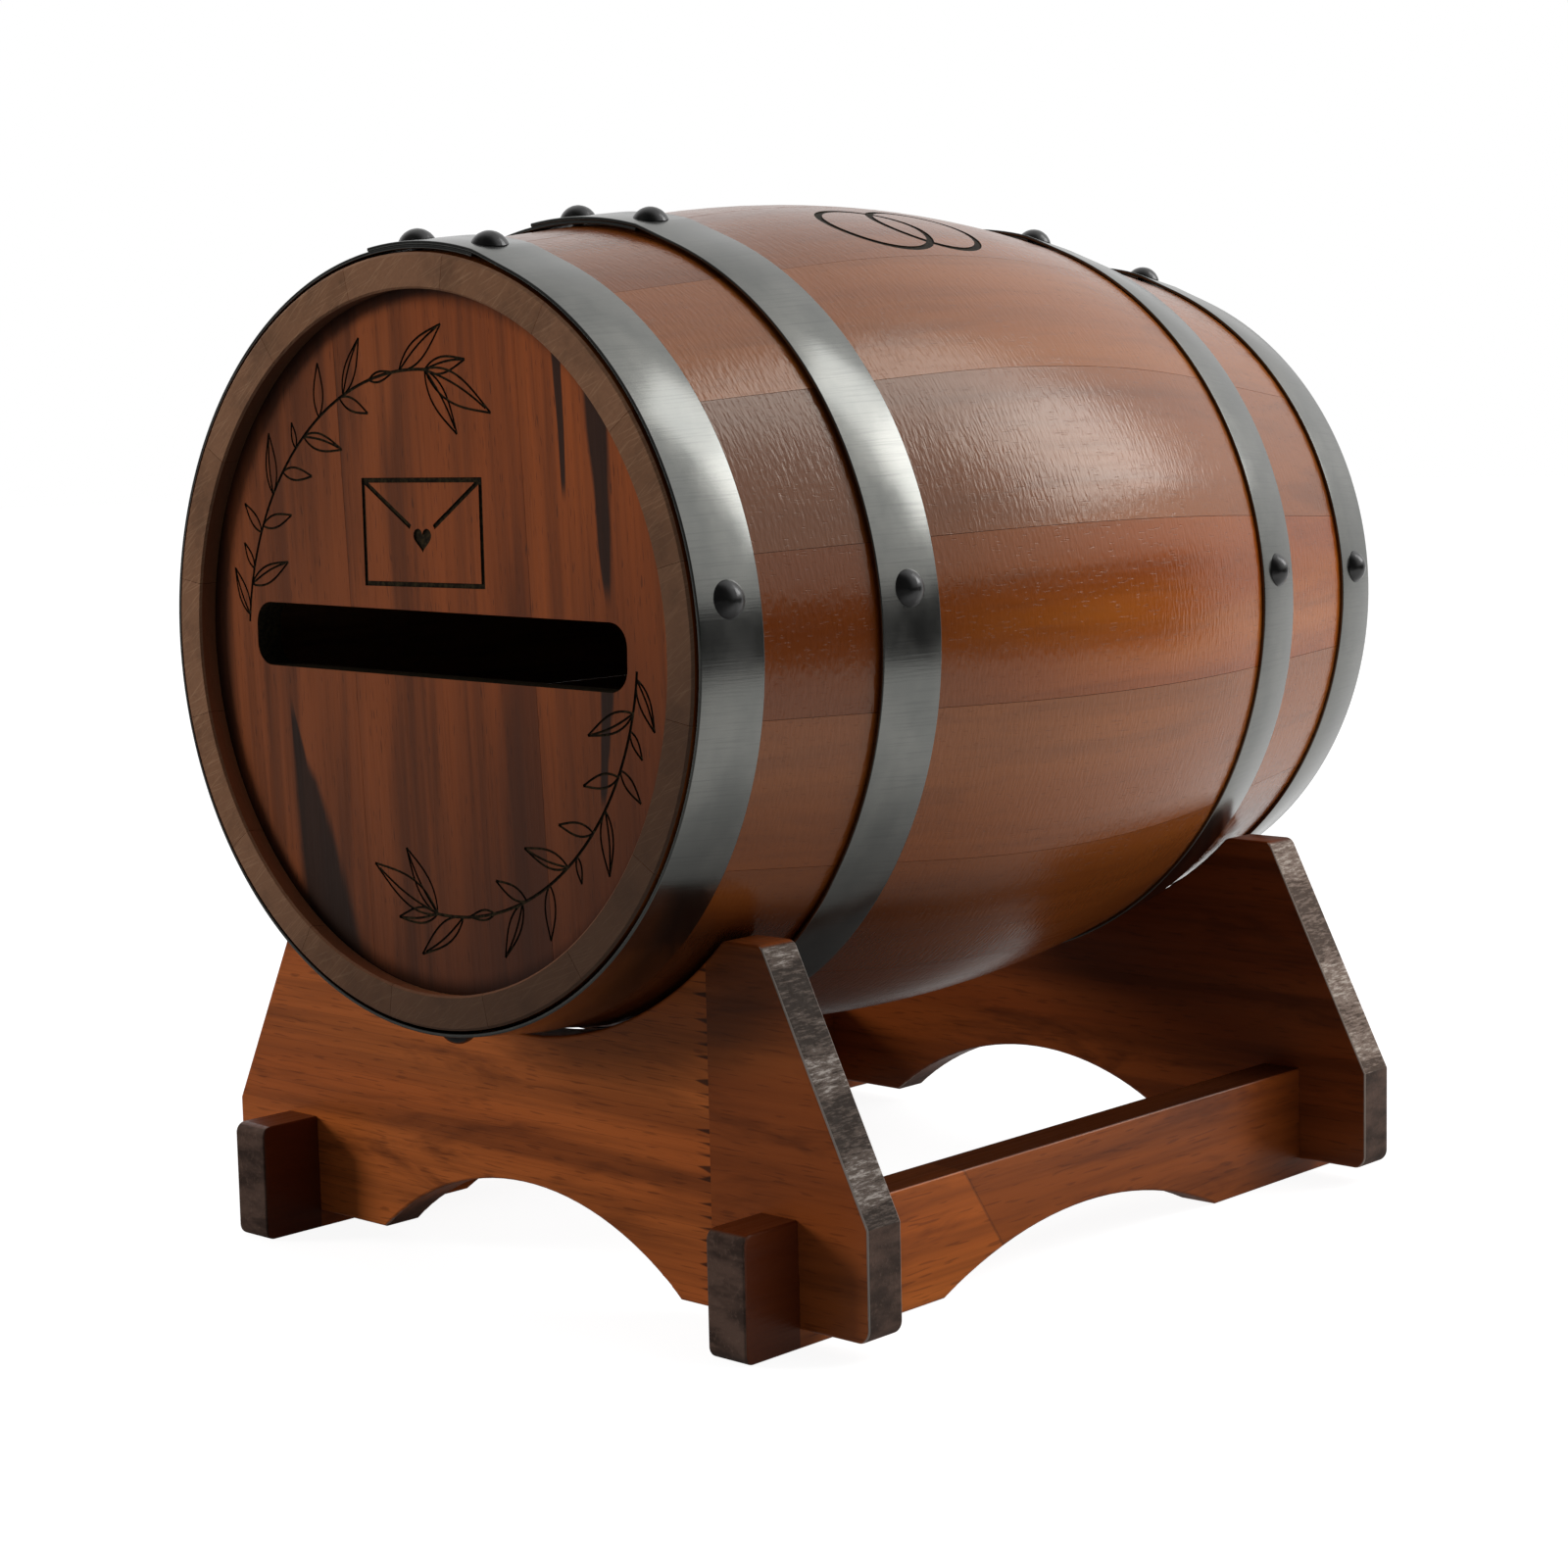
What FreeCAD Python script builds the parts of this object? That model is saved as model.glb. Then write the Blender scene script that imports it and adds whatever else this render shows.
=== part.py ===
"""Barrel-shaped wedding card box on a two-board cradle stand.

The barrel lies along Y with its slotted front head towards -Y, and the stand's
rails rest on the plane Z = 0.  The origin is under the middle of the barrel.
Lengths are in millimetres and angles in degrees.
"""
import FreeCAD, Part
import math
import os

Vec = FreeCAD.Vector

# Barrel shell
barrel_length = 300.0
bilge_radius = 117.0
bilge_arc_radius = 410.0
front_taper_angle = 7.85
rear_taper_angle = 10.0
axis_height = 174.7
stave_count = 16
stave_wall = 9.2
stave_joint_angle = 13.5
stave_joint_gap = 0.12
rim_chamfer = 0.6

# Hoops and their rivets
hoop_width = 20.0
hoop_thickness = 1.0
hoop_seat_gap = 0.1
front_hoop_lift = 0.7
end_hoop_inset = 0.8
quarter_hoop_inset = 67.6
lap_centre_angle = 85.7
lap_rivet_spacing = 28.0
lap_end_margin = 8.0
side_rivet_angles = (6.1, 178.0, 268.0)
rivet_row_twist = 3.5
rivet_head_radius = 4.8
rivet_head_height = 3.0
rivet_shank_radius = 1.6
rivet_embedment = 5.5
fastener_hole_gap = 0.05

# Front head with the card slot
head_recess = 5.5
head_thickness = 8.0
head_edge_gap = 0.1
head_left_seam = -31.5
head_right_seam = 39.0
head_board_tilt = 2.7
head_seam_gap = 0.1
slot_length = 145.0
slot_height = 17.3
slot_corner_radius = 6.0
slot_tilt = -0.8

# Rear door and its stop ring
door_recess = 4.6
door_thickness = 10.0
door_edge_clearance = 0.8
door_board_width = 64.0
door_seam_gap = 0.1
stop_ring_inner_radius = 81.0
stop_ring_thickness = 6.0
stop_clearance = 0.3
batten_length = 124.0
batten_height = 18.0
batten_thickness = 8.0
batten_offset = 38.0
batten_screw_spacing = 48.0
batten_screw_bite = 6.0
batten_screw_scale = 2.0

# Small brass butt hinge of the door
hinge_height = 26.0
hinge_leaf_width = 8.2
hinge_leaf_thickness = 1.2
hinge_axis_outset = 0.4
knuckle_radius = 2.0
knuckle_lift = 0.3
knuckle_end_gap = 0.2
hinge_pin_radius = 1.0
hinge_pin_gap = 0.05
leaf_clearance = 0.3
hinge_screw_spread = 16.0
hinge_screw_bite = 7.0
small_screw_head_radius = 1.7
small_screw_head_height = 0.9
small_screw_shank_radius = 0.8

# Keyed cam lock of the door
lock_offset = 67.0
lock_collar_radius = 11.0
lock_collar_thickness = 1.5
lock_body_radius = 9.0
lock_body_gap = 0.1
lock_nut_radius = 12.5
lock_nut_thickness = 3.0
lock_nut_sides = 6
lock_plug_radius = 6.0
lock_plug_gap = 0.05
keyway_width = 1.6
keyway_height = 8.0
keyway_depth = 9.0
cam_reach = 19.0
cam_width = 12.0
cam_thickness = 2.0
cam_clearance = 0.4
cam_tenon = 5.0
cam_tenon_gap = 0.05
cam_screw_head_radius = 3.6
cam_screw_head_height = 1.6
cam_screw_shank_radius = 1.4
cam_screw_bite = 6.0

# Stand
rail_end_inset = 11.7
rail_height = 33.0
rail_thickness = 13.0
rail_offset = 94.4
rail_arch_span = 124.0
rail_arch_height = 13.5
rail_corner_radius = 3.0
cradle_thickness = 12.8
cradle_inset = 37.8
cradle_width = 247.8
cradle_bottom = 5.0
cradle_shoulder = 34.0
horn_drop = 73.7
horn_width = 13.3
cradle_corner_radius = 4.0
horn_corner_radius = 3.0
cradle_arch_span = 118.0
cradle_arch_height = 22.0
saddle_clearance = 0.3
lap_joint_gap = 0.1
board_edge_radius = 0.8

# Values that follow from the driving dimensions
half_length = barrel_length / 2
front_taper_start = -bilge_arc_radius * math.sin(math.radians(front_taper_angle))
rear_taper_start = bilge_arc_radius * math.sin(math.radians(rear_taper_angle))
stave_angle = 360.0 / stave_count
end_hoop_offset = half_length - end_hoop_inset - hoop_width / 2
quarter_hoop_offset = half_length - quarter_hoop_inset
door_face = half_length - door_recess
door_back = door_face - door_thickness
stop_face = door_back - stop_clearance
stop_back = stop_face - stop_ring_thickness
batten_back = door_back - batten_thickness
rail_length = barrel_length - 2 * rail_end_inset
cradle_offset = half_length - cradle_inset
cradle_inner_face = cradle_offset - cradle_thickness / 2
horn_top = axis_height - horn_drop
lap_line = (cradle_bottom + rail_height) / 2

FRONT = Vec(0, -1, 0)
BARREL_CENTRE = Vec(0, 0, axis_height)
OVERCUT = 5.0
SAME_PLACE = 0.001


def outer_radius(y):
    """Radius of the barrel's outside at a place along it: an arc, and tangents to it beyond its ends."""
    arc_y = min(max(y, front_taper_start), rear_taper_start)
    depth = math.sqrt(bilge_arc_radius ** 2 - arc_y ** 2)
    return bilge_radius - bilge_arc_radius + depth - (y - arc_y) * arc_y / depth


def inner_radius(y):
    """Radius of the barrel's inside at a place along it."""
    return outer_radius(y) - stave_wall


door_radius = inner_radius(half_length) - door_edge_clearance
hinge_x = -(door_radius + hinge_axis_outset)
hinge_y = door_face + knuckle_lift + knuckle_radius


def saddle_radius(y):
    """Radius of the saddle of the cradle at y, which carries the barrel on its inner edge."""
    return outer_radius(math.copysign(cradle_inner_face, y)) + saddle_clearance


def saddle_reach(y):
    """Distance from the middle to where the saddle of the cradle at y runs out at the horns."""
    return math.sqrt(saddle_radius(y) ** 2 - horn_drop ** 2)


horn_outer = saddle_reach(-cradle_offset) + horn_width


def polygon_face(points):
    """Flat face inside a closed run of straight edges."""
    return Part.Face(Part.makePolygon(points + [points[0]]))


def around_barrel(shape, degrees):
    """Copy of a shape turned about the barrel's axis, anticlockwise seen from the front."""
    turned = shape.copy()
    turned.rotate(Vec(0, 0, 0), FRONT, degrees)
    return turned


def revolve_section(points, degrees=360.0):
    """Solid swept by a section in the XY plane around the barrel's axis."""
    return polygon_face(points).revolve(Vec(0, 0, 0), FRONT, degrees)


def centred_box(size, centre):
    """Box with its middle at a point."""
    return Part.makeBox(size.x, size.y, size.z, centre - size * 0.5)


def on_barrel(shape):
    """Copy of a shape moved from the barrel's own axis to its height on the stand."""
    placed = shape.copy()
    placed.translate(BARREL_CENTRE)
    return placed


def export(name, shapes):
    """Write one node, made of one solid or of a group of separate solids."""
    group = shapes if isinstance(shapes, list) else [shapes]
    solids = [solid for shape in group for solid in shape.Solids]
    node = solids[0] if len(solids) == 1 else Part.makeCompound(solids)
    node.exportStep("parts/%s.step" % name)
    volume = sum(solid.Volume for solid in solids)
    print("%-24s solids %2d volume %10.1f valid %s" % (name, len(solids), volume, node.isValid()))


def domed_fastener(head_radius, head_height, shank_radius, shank_length):
    """Dome-headed rivet or screw along +X, with the underside of its head at X = 0."""
    ball_radius = (head_radius ** 2 + head_height ** 2) / (2 * head_height)
    ball = Part.makeSphere(ball_radius, Vec(head_height - ball_radius, 0, 0))
    keep = centred_box(Vec(head_height * 2, ball_radius * 2, ball_radius * 2), Vec(head_height, 0, 0))
    shank = Part.makeCylinder(shank_radius, shank_length, Vec(-shank_length, 0, 0), Vec(1, 0, 0))
    return ball.common(keep).fuse(shank).removeSplitter()


def fastener_hole(shank_radius, shank_length):
    """Drilled hole that a fastener of the same size sits in."""
    radius = shank_radius + fastener_hole_gap
    depth = shank_length + fastener_hole_gap
    return Part.makeCylinder(radius, depth + OVERCUT, Vec(-depth, 0, 0), Vec(1, 0, 0))


def pointing(shape, direction, place):
    """Copy of a fastener along +X that points along a direction from a place."""
    moved = shape.copy()
    moved.Placement = FreeCAD.Placement(place, FreeCAD.Rotation(Vec(1, 0, 0), direction))
    return moved


def make_hinge_notch():
    """Notch in the rear rim that takes the hinge's fixed leaf and its knuckle."""
    far = hinge_x - hinge_leaf_width - leaf_clearance
    near = hinge_x + OVERCUT
    height = hinge_height + 2 * leaf_clearance
    return Part.makeBox(near - far, door_recess + OVERCUT, height, Vec(far, door_face, -height / 2))


def rim_screw_places():
    """Where the fixed leaf's screws go into the rear rim."""
    x = hinge_x - (hinge_leaf_width + knuckle_radius) / 2
    y = door_face + hinge_leaf_thickness
    return [Vec(x, y, side * hinge_screw_spread / 2) for side in (-1, 1)]


def door_screw_places():
    """Where the moving leaf's screws go into the door."""
    x = hinge_x + (hinge_leaf_width + knuckle_radius) / 2
    y = door_face + hinge_leaf_thickness
    return [Vec(x, y, side * hinge_screw_spread / 2) for side in (-1, 1)]


def small_screw(bite):
    """Small dome-headed hinge screw that bites this deep below the leaf."""
    length = hinge_leaf_thickness + bite
    return domed_fastener(small_screw_head_radius, small_screw_head_height,
                          small_screw_shank_radius, length)


def small_screw_holes(places):
    """Holes for hinge screws through a leaf and into the wood under it."""
    length = hinge_leaf_thickness + hinge_screw_bite
    hole = fastener_hole(small_screw_shank_radius, length)
    return [pointing(hole, Vec(0, 1, 0), place) for place in places]


def hoop_inner_radius(hoop_y, y):
    """Inside of the hoop centred at hoop_y, which sits tight, but for the front hoops' lifted rim side."""
    bilge_edge = hoop_y - math.copysign(hoop_width / 2, hoop_y)
    rim_edge = hoop_y + math.copysign(hoop_width / 2, hoop_y)
    bilge_radius_there = outer_radius(bilge_edge) + hoop_seat_gap
    lift = front_hoop_lift if hoop_y < 0 else 0.0
    rim_radius_there = outer_radius(rim_edge) + hoop_seat_gap + lift
    share = (y - bilge_edge) / (rim_edge - bilge_edge)
    return bilge_radius_there + share * (rim_radius_there - bilge_radius_there)


def hoop_outer_radius(hoop_y, layers):
    """Outside of a hoop of one or two layers of strip, in the middle of its width."""
    return hoop_inner_radius(hoop_y, hoop_y) + layers * hoop_thickness


def hoop_lean(hoop_y):
    """Signed angle between a hoop's outside and the barrel's axis."""
    low = hoop_inner_radius(hoop_y, hoop_y - hoop_width / 2)
    high = hoop_inner_radius(hoop_y, hoop_y + hoop_width / 2)
    return math.degrees(math.atan((low - high) / hoop_width))


def angle_along(hoop_y, length):
    """Angle that a length along a hoop takes up."""
    return math.degrees(length / hoop_outer_radius(hoop_y, 1))


def rivet_spots(hoop_y):
    """Angle and number of strip layers at each rivet of a hoop."""
    half_pair = angle_along(hoop_y, lap_rivet_spacing / 2)
    spots = [(lap_centre_angle - half_pair, 2), (lap_centre_angle + half_pair, 2)]
    twist = rivet_row_twist * hoop_y / barrel_length
    spots += [(angle - twist, 1) for angle in side_rivet_angles]
    return spots


def on_hoop(shape, hoop_y, angle, layers):
    """Copy of a shape along +X set square to a hoop's tapered outside."""
    placed = shape.copy()
    placed.rotate(Vec(0, 0, 0), Vec(0, 0, 1), hoop_lean(hoop_y))
    placed.translate(Vec(hoop_outer_radius(hoop_y, layers), hoop_y, 0))
    return around_barrel(placed, angle)


def rivet_length(layers):
    """Length of a rivet's shank below its head."""
    return layers * hoop_thickness + front_hoop_lift + rivet_embedment


def make_rivets(hoop_y):
    """All rivets of a hoop."""
    rivets = []
    for angle, layers in rivet_spots(hoop_y):
        rivet = domed_fastener(rivet_head_radius, rivet_head_height, rivet_shank_radius, rivet_length(layers))
        rivets.append(on_hoop(rivet, hoop_y, angle, layers))
    return rivets


def make_rivet_holes(hoop_y):
    """Holes for all rivets of a hoop."""
    holes = []
    for angle, layers in rivet_spots(hoop_y):
        hole = fastener_hole(rivet_shank_radius, rivet_length(layers))
        holes.append(on_hoop(hole, hoop_y, angle, layers))
    return holes


def strip_section(hoop_y, layer):
    """Section of a hoop's strip in its first or second layer."""
    low = hoop_y - hoop_width / 2
    high = hoop_y + hoop_width / 2
    inner = layer * hoop_thickness
    outer = inner + hoop_thickness
    return [Vec(hoop_inner_radius(hoop_y, low) + inner, low, 0),
            Vec(hoop_inner_radius(hoop_y, high) + inner, high, 0),
            Vec(hoop_inner_radius(hoop_y, high) + outer, high, 0),
            Vec(hoop_inner_radius(hoop_y, low) + outer, low, 0)]


def make_hoop(hoop_y):
    """Riveted hoop: a ring of strip whose outer end leaves the ring along a tangent and laps over it."""
    ring = revolve_section(strip_section(hoop_y, 0))
    single = hoop_outer_radius(hoop_y, 1)
    ramp = math.degrees(math.acos(single / (single + hoop_thickness)))
    half_pair = lap_rivet_spacing / 2
    start = lap_centre_angle - angle_along(hoop_y, half_pair + rivet_head_radius) - ramp
    end = lap_centre_angle + angle_along(hoop_y, half_pair + lap_end_margin)
    lap = around_barrel(revolve_section(strip_section(hoop_y, 1), end - start), start)
    above_tangent = Part.makeBox(single, 2 * hoop_width, 2 * single, Vec(0, -hoop_width, -single))
    lap = lap.cut(on_hoop(above_tangent, hoop_y, start, 1))
    return ring.fuse(lap).removeSplitter().cut(make_rivet_holes(hoop_y))


def stave_section():
    """Lengthwise section of a stave: arcs over the bilge and straight tapers to both rims."""
    def side(radius_at, ease):
        def place(y):
            return Vec(radius_at(y), y, 0)

        runs = [Part.Arc(place(front_taper_start), place(0), place(rear_taper_start)).toShape()]
        for end, taper_start in ((-half_length, front_taper_start), (half_length, rear_taper_start)):
            rim = end - math.copysign(rim_chamfer, end)
            eased_end = Vec(radius_at(end) + ease, end, 0)
            runs.append(Part.makePolygon([place(taper_start), place(rim), eased_end]))
        return runs

    outside = side(outer_radius, -rim_chamfer)
    inside = side(inner_radius, rim_chamfer)
    ends = []
    for y in (-half_length, half_length):
        ends.append(Part.makeLine(Vec(outer_radius(y) - rim_chamfer, y, 0),
                                  Vec(inner_radius(y) + rim_chamfer, y, 0)))
    edges = [edge for run in outside + inside + ends for edge in run.Edges]
    return Part.Face(Part.Wire(Part.__sortEdges__(edges)))


def make_staves(hoop_places):
    """All staves, drilled for the rivets and notched for the hinge."""
    gap_angle = math.degrees(stave_joint_gap / bilge_radius)
    blank = stave_section().revolve(Vec(0, 0, 0), FRONT, stave_angle - gap_angle)
    notch = make_hinge_notch()
    holes = [hole for y in hoop_places for hole in make_rivet_holes(y)]
    tools = [notch] + holes + small_screw_holes(rim_screw_places())
    staves = []
    for index in range(stave_count):
        start = stave_joint_angle + index * stave_angle + gap_angle / 2
        stave = around_barrel(blank, start)
        near = [tool for tool in tools if stave.BoundBox.intersect(tool.BoundBox)]
        staves.append(stave.cut(near) if near else stave)
    return staves


def make_slot():
    """Cutter for the card slot: a long hole with round corners."""
    depth = head_thickness + 2 * OVERCUT
    start = -half_length + head_recess - OVERCUT
    slot = Part.makeBox(slot_length, depth, slot_height, Vec(-slot_length / 2, start, -slot_height / 2))
    corners = [edge for edge in slot.Edges if edge.BoundBox.YLength > depth / 2]
    return around_barrel(slot.makeFillet(slot_corner_radius, corners), slot_tilt)


def make_head_boards():
    """Front head: left board, split middle board and right board, with the slot through all of them."""
    face = -half_length + head_recess
    back = face + head_thickness
    disc = revolve_section([Vec(0, face, 0), Vec(inner_radius(face) - head_edge_gap, face, 0),
                            Vec(inner_radius(back) - head_edge_gap, back, 0), Vec(0, back, 0)])
    disc = disc.cut(make_slot())
    reach = inner_radius(back) + OVERCUT
    edges = [-reach, head_left_seam, head_right_seam, reach]
    boards = []
    for left, right in zip(edges, edges[1:]):
        width = right - left - head_seam_gap
        strip = centred_box(Vec(width, 2 * half_length, 2 * reach), Vec((left + right) / 2, 0, 0))
        boards.append(disc.common(around_barrel(strip, head_board_tilt)))
    left_board, middle_board, right_board = boards
    lower, upper = sorted(middle_board.Solids, key=lambda solid: solid.CenterOfMass.z)
    return {"head_left_board": left_board, "head_upper_board": upper,
            "head_lower_board": lower, "head_right_board": right_board}


def make_stop_ring():
    """Ring inside the rear rim that the closed door rests against."""
    return revolve_section([Vec(stop_ring_inner_radius, stop_back, 0),
                            Vec(inner_radius(stop_back) - head_edge_gap, stop_back, 0),
                            Vec(inner_radius(stop_face) - head_edge_gap, stop_face, 0),
                            Vec(stop_ring_inner_radius, stop_face, 0)])


def batten_screw_places():
    """Heads of the screws that hold the battens to the door's boards."""
    places = []
    for side in (-1, 1):
        for step in (-1, 0, 1):
            places.append(Vec(step * batten_screw_spacing, batten_back, side * batten_offset))
    return places


def batten_screw_tools():
    """The batten screws, and the holes that they sit in."""
    length = batten_thickness + batten_screw_bite
    shank_radius = small_screw_shank_radius * batten_screw_scale
    screw = domed_fastener(small_screw_head_radius * batten_screw_scale,
                           small_screw_head_height * batten_screw_scale, shank_radius, length)
    hole = fastener_hole(shank_radius, length)
    screws = [pointing(screw, Vec(0, -1, 0), place) for place in batten_screw_places()]
    holes = [pointing(hole, Vec(0, -1, 0), place) for place in batten_screw_places()]
    return screws, holes


def make_door_boards():
    """Round rear door of three boards, drilled for its lock, hinge and batten screws."""
    disc = Part.makeCylinder(door_radius, door_thickness, Vec(0, door_back, 0), Vec(0, 1, 0))
    lock_hole = Part.makeCylinder(lock_body_radius + lock_body_gap, door_thickness + 2 * OVERCUT,
                                  Vec(lock_offset, door_back - OVERCUT, 0), Vec(0, 1, 0))
    disc = disc.cut([lock_hole] + small_screw_holes(door_screw_places()) + batten_screw_tools()[1])
    reach = door_radius + OVERCUT
    edges = [-reach, -door_board_width / 2, door_board_width / 2, reach]
    boards = []
    for left, right in zip(edges, edges[1:]):
        width = right - left - door_seam_gap
        strip = centred_box(Vec(width, 2 * half_length, 2 * reach), Vec((left + right) / 2, half_length, 0))
        boards.append(disc.common(strip))
    return boards


def make_batten(side):
    """Batten across the inside of the door's boards, above or below the middle."""
    size = Vec(batten_length, batten_thickness, batten_height)
    batten = centred_box(size, Vec(0, door_back - batten_thickness / 2, side * batten_offset))
    return batten.cut(batten_screw_tools()[1])


def knuckle_spans():
    """Height of the hinge's three knuckles: lower, middle and upper."""
    step = hinge_height / 3
    bottom = -hinge_height / 2
    return [(bottom, bottom + step), (bottom + step + knuckle_end_gap, bottom + 2 * step - knuckle_end_gap),
            (bottom + 2 * step, bottom + hinge_height)]


def make_hinge_leaf(side, spans, screw_places):
    """Hinge leaf on one side of the pin, rolled into the knuckles of the given spans."""
    plate_width = hinge_leaf_width - knuckle_radius - knuckle_end_gap
    plate_near = side * (knuckle_radius + knuckle_end_gap)
    plate_far = side * hinge_leaf_width
    leaf = Part.makeBox(plate_width, hinge_leaf_thickness, hinge_height,
                        Vec(hinge_x + min(plate_near, plate_far), door_face, -hinge_height / 2))
    bore = hinge_pin_radius + hinge_pin_gap
    for low, high in spans:
        pin_place = Vec(hinge_x, hinge_y, low)
        tab_start = min(0, side * hinge_leaf_width / 2)
        tab = Part.makeBox(hinge_leaf_width / 2, hinge_leaf_thickness, high - low,
                           Vec(hinge_x + tab_start, door_face, low))
        roll = Part.makeCylinder(knuckle_radius, high - low, pin_place)
        leaf = leaf.fuse([tab, roll])
        leaf = leaf.cut(Part.makeCylinder(bore, high - low, pin_place))
    return leaf.removeSplitter().cut(small_screw_holes(screw_places))


def make_hinge_pin():
    """Pin through the hinge's knuckles."""
    return Part.makeCylinder(hinge_pin_radius, hinge_height, Vec(hinge_x, hinge_y, -hinge_height / 2))


def lock_cylinder(radius, start, end):
    """Cylinder about the lock's axis between two places along Y."""
    return Part.makeCylinder(radius, end - start, Vec(lock_offset, start, 0), Vec(0, 1, 0))


lock_front = door_face + lock_collar_thickness
cam_front = stop_back - cam_clearance
cam_back = cam_front - cam_thickness


def make_lock_housing():
    """Lock body with its collar on the door's outside and a bore for the plug."""
    collar = lock_cylinder(lock_collar_radius, door_face, lock_front)
    body = lock_cylinder(lock_body_radius, cam_front + cam_clearance, door_face)
    return collar.fuse(body).removeSplitter().cut(
        lock_cylinder(lock_plug_radius + lock_plug_gap, cam_back, lock_front + OVERCUT))


def make_lock_nut():
    """Hexagonal nut that clamps the lock to the inside of the door."""
    corners = []
    for step in range(lock_nut_sides):
        turn = 2 * math.pi * (step + 0.5) / lock_nut_sides
        corners.append(Vec(lock_offset + lock_nut_radius * math.cos(turn), door_back - lock_nut_thickness,
                           lock_nut_radius * math.sin(turn)))
    nut = polygon_face(corners).extrude(Vec(0, lock_nut_thickness, 0))
    return nut.cut(lock_cylinder(lock_body_radius + lock_body_gap, stop_back, door_face))


def cam_screw_tools():
    """The screw that holds the cam to the plug, and its hole."""
    length = cam_thickness + cam_screw_bite
    screw = domed_fastener(cam_screw_head_radius, cam_screw_head_height, cam_screw_shank_radius, length)
    hole = fastener_hole(cam_screw_shank_radius, length)
    place = Vec(lock_offset, cam_back, 0)
    return pointing(screw, Vec(0, -1, 0), place), pointing(hole, Vec(0, -1, 0), place)


def make_lock_plug():
    """Turning plug with its keyway and the square tenon that drives the cam."""
    plug = lock_cylinder(lock_plug_radius, cam_front, lock_front)
    tenon = centred_box(Vec(cam_tenon, cam_thickness, cam_tenon),
                        Vec(lock_offset, cam_back + cam_thickness / 2, 0))
    keyway = centred_box(Vec(keyway_width, 2 * keyway_depth, keyway_height), Vec(lock_offset, lock_front, 0))
    return plug.fuse(tenon).removeSplitter().cut([keyway, cam_screw_tools()[1]])


def make_lock_cam():
    """Flat cam that hangs down when unlocked and turns out behind the stop ring."""
    hub = lock_cylinder(cam_width / 2, cam_back, cam_front)
    straight = cam_reach - cam_width / 2
    arm = centred_box(Vec(cam_width, cam_thickness, straight),
                      Vec(lock_offset, (cam_back + cam_front) / 2, -straight / 2))
    tip = lock_cylinder(cam_width / 2, cam_back, cam_front)
    tip.translate(Vec(0, 0, -straight))
    hole_side = cam_tenon + 2 * cam_tenon_gap
    hole = centred_box(Vec(hole_side, 2 * OVERCUT, hole_side), Vec(lock_offset, cam_front, 0))
    return hub.fuse([arm, tip]).removeSplitter().cut(hole)


def arch_cutter(span, height, floor_level):
    """Circle that cuts an arch of this span and height, as its radius and centre height."""
    radius = (span ** 2 / 4 + height ** 2) / (2 * height)
    return radius, floor_level + height - radius


def edges_at(shape, x, z):
    """Edges along Y that run through one point of the XZ outline."""
    def matches(edge):
        box = edge.BoundBox
        straight = box.XLength < SAME_PLACE and box.ZLength < SAME_PLACE
        return straight and abs(box.XMin - x) < SAME_PLACE and abs(box.ZMin - z) < SAME_PLACE
    return [edge for edge in shape.Edges if matches(edge)]


def face_outline_edges(shape, axis):
    """Edges that lie in the two broad faces of a board of this thickness axis."""
    def flat(edge):
        box = edge.BoundBox
        low, high = {"x": (box.XMin, box.XMax), "y": (box.YMin, box.YMax)}[axis]
        return high - low < SAME_PLACE
    return [edge for edge in shape.Edges if flat(edge)]


def make_cradle(y):
    """Cradle board across the stand, with its saddle, its arch and slots for the rails."""
    half = cradle_width / 2
    outline = [Vec(-half, 0, cradle_bottom), Vec(half, 0, cradle_bottom), Vec(half, 0, cradle_shoulder),
               Vec(horn_outer, 0, horn_top), Vec(-horn_outer, 0, horn_top), Vec(-half, 0, cradle_shoulder)]
    board = polygon_face(outline).extrude(Vec(0, cradle_thickness, 0))
    arch_radius, arch_centre = arch_cutter(cradle_arch_span, cradle_arch_height, cradle_bottom)
    depth = cradle_thickness + 2 * OVERCUT
    for radius, height in ((saddle_radius(y), axis_height), (arch_radius, arch_centre)):
        board = board.cut(Part.makeCylinder(radius, depth, Vec(0, -OVERCUT, height), Vec(0, 1, 0)))
    for side in (-1, 1):
        corners = ((side * half, cradle_bottom, cradle_corner_radius),
                   (side * horn_outer, horn_top, horn_corner_radius),
                   (side * saddle_reach(y), horn_top, horn_corner_radius))
        for x, z, radius in corners:
            board = board.makeFillet(radius, edges_at(board, x, z))
    board = board.makeFillet(board_edge_radius, face_outline_edges(board, "y"))
    slot_width = rail_thickness + 2 * lap_joint_gap
    slot_depth = lap_line + lap_joint_gap
    for side in (-1, 1):
        centre = Vec(side * rail_offset, cradle_thickness / 2, slot_depth / 2)
        board = board.cut(centred_box(Vec(slot_width, depth, slot_depth), centre))
    board.translate(Vec(0, y - cradle_thickness / 2, 0))
    return board


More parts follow.
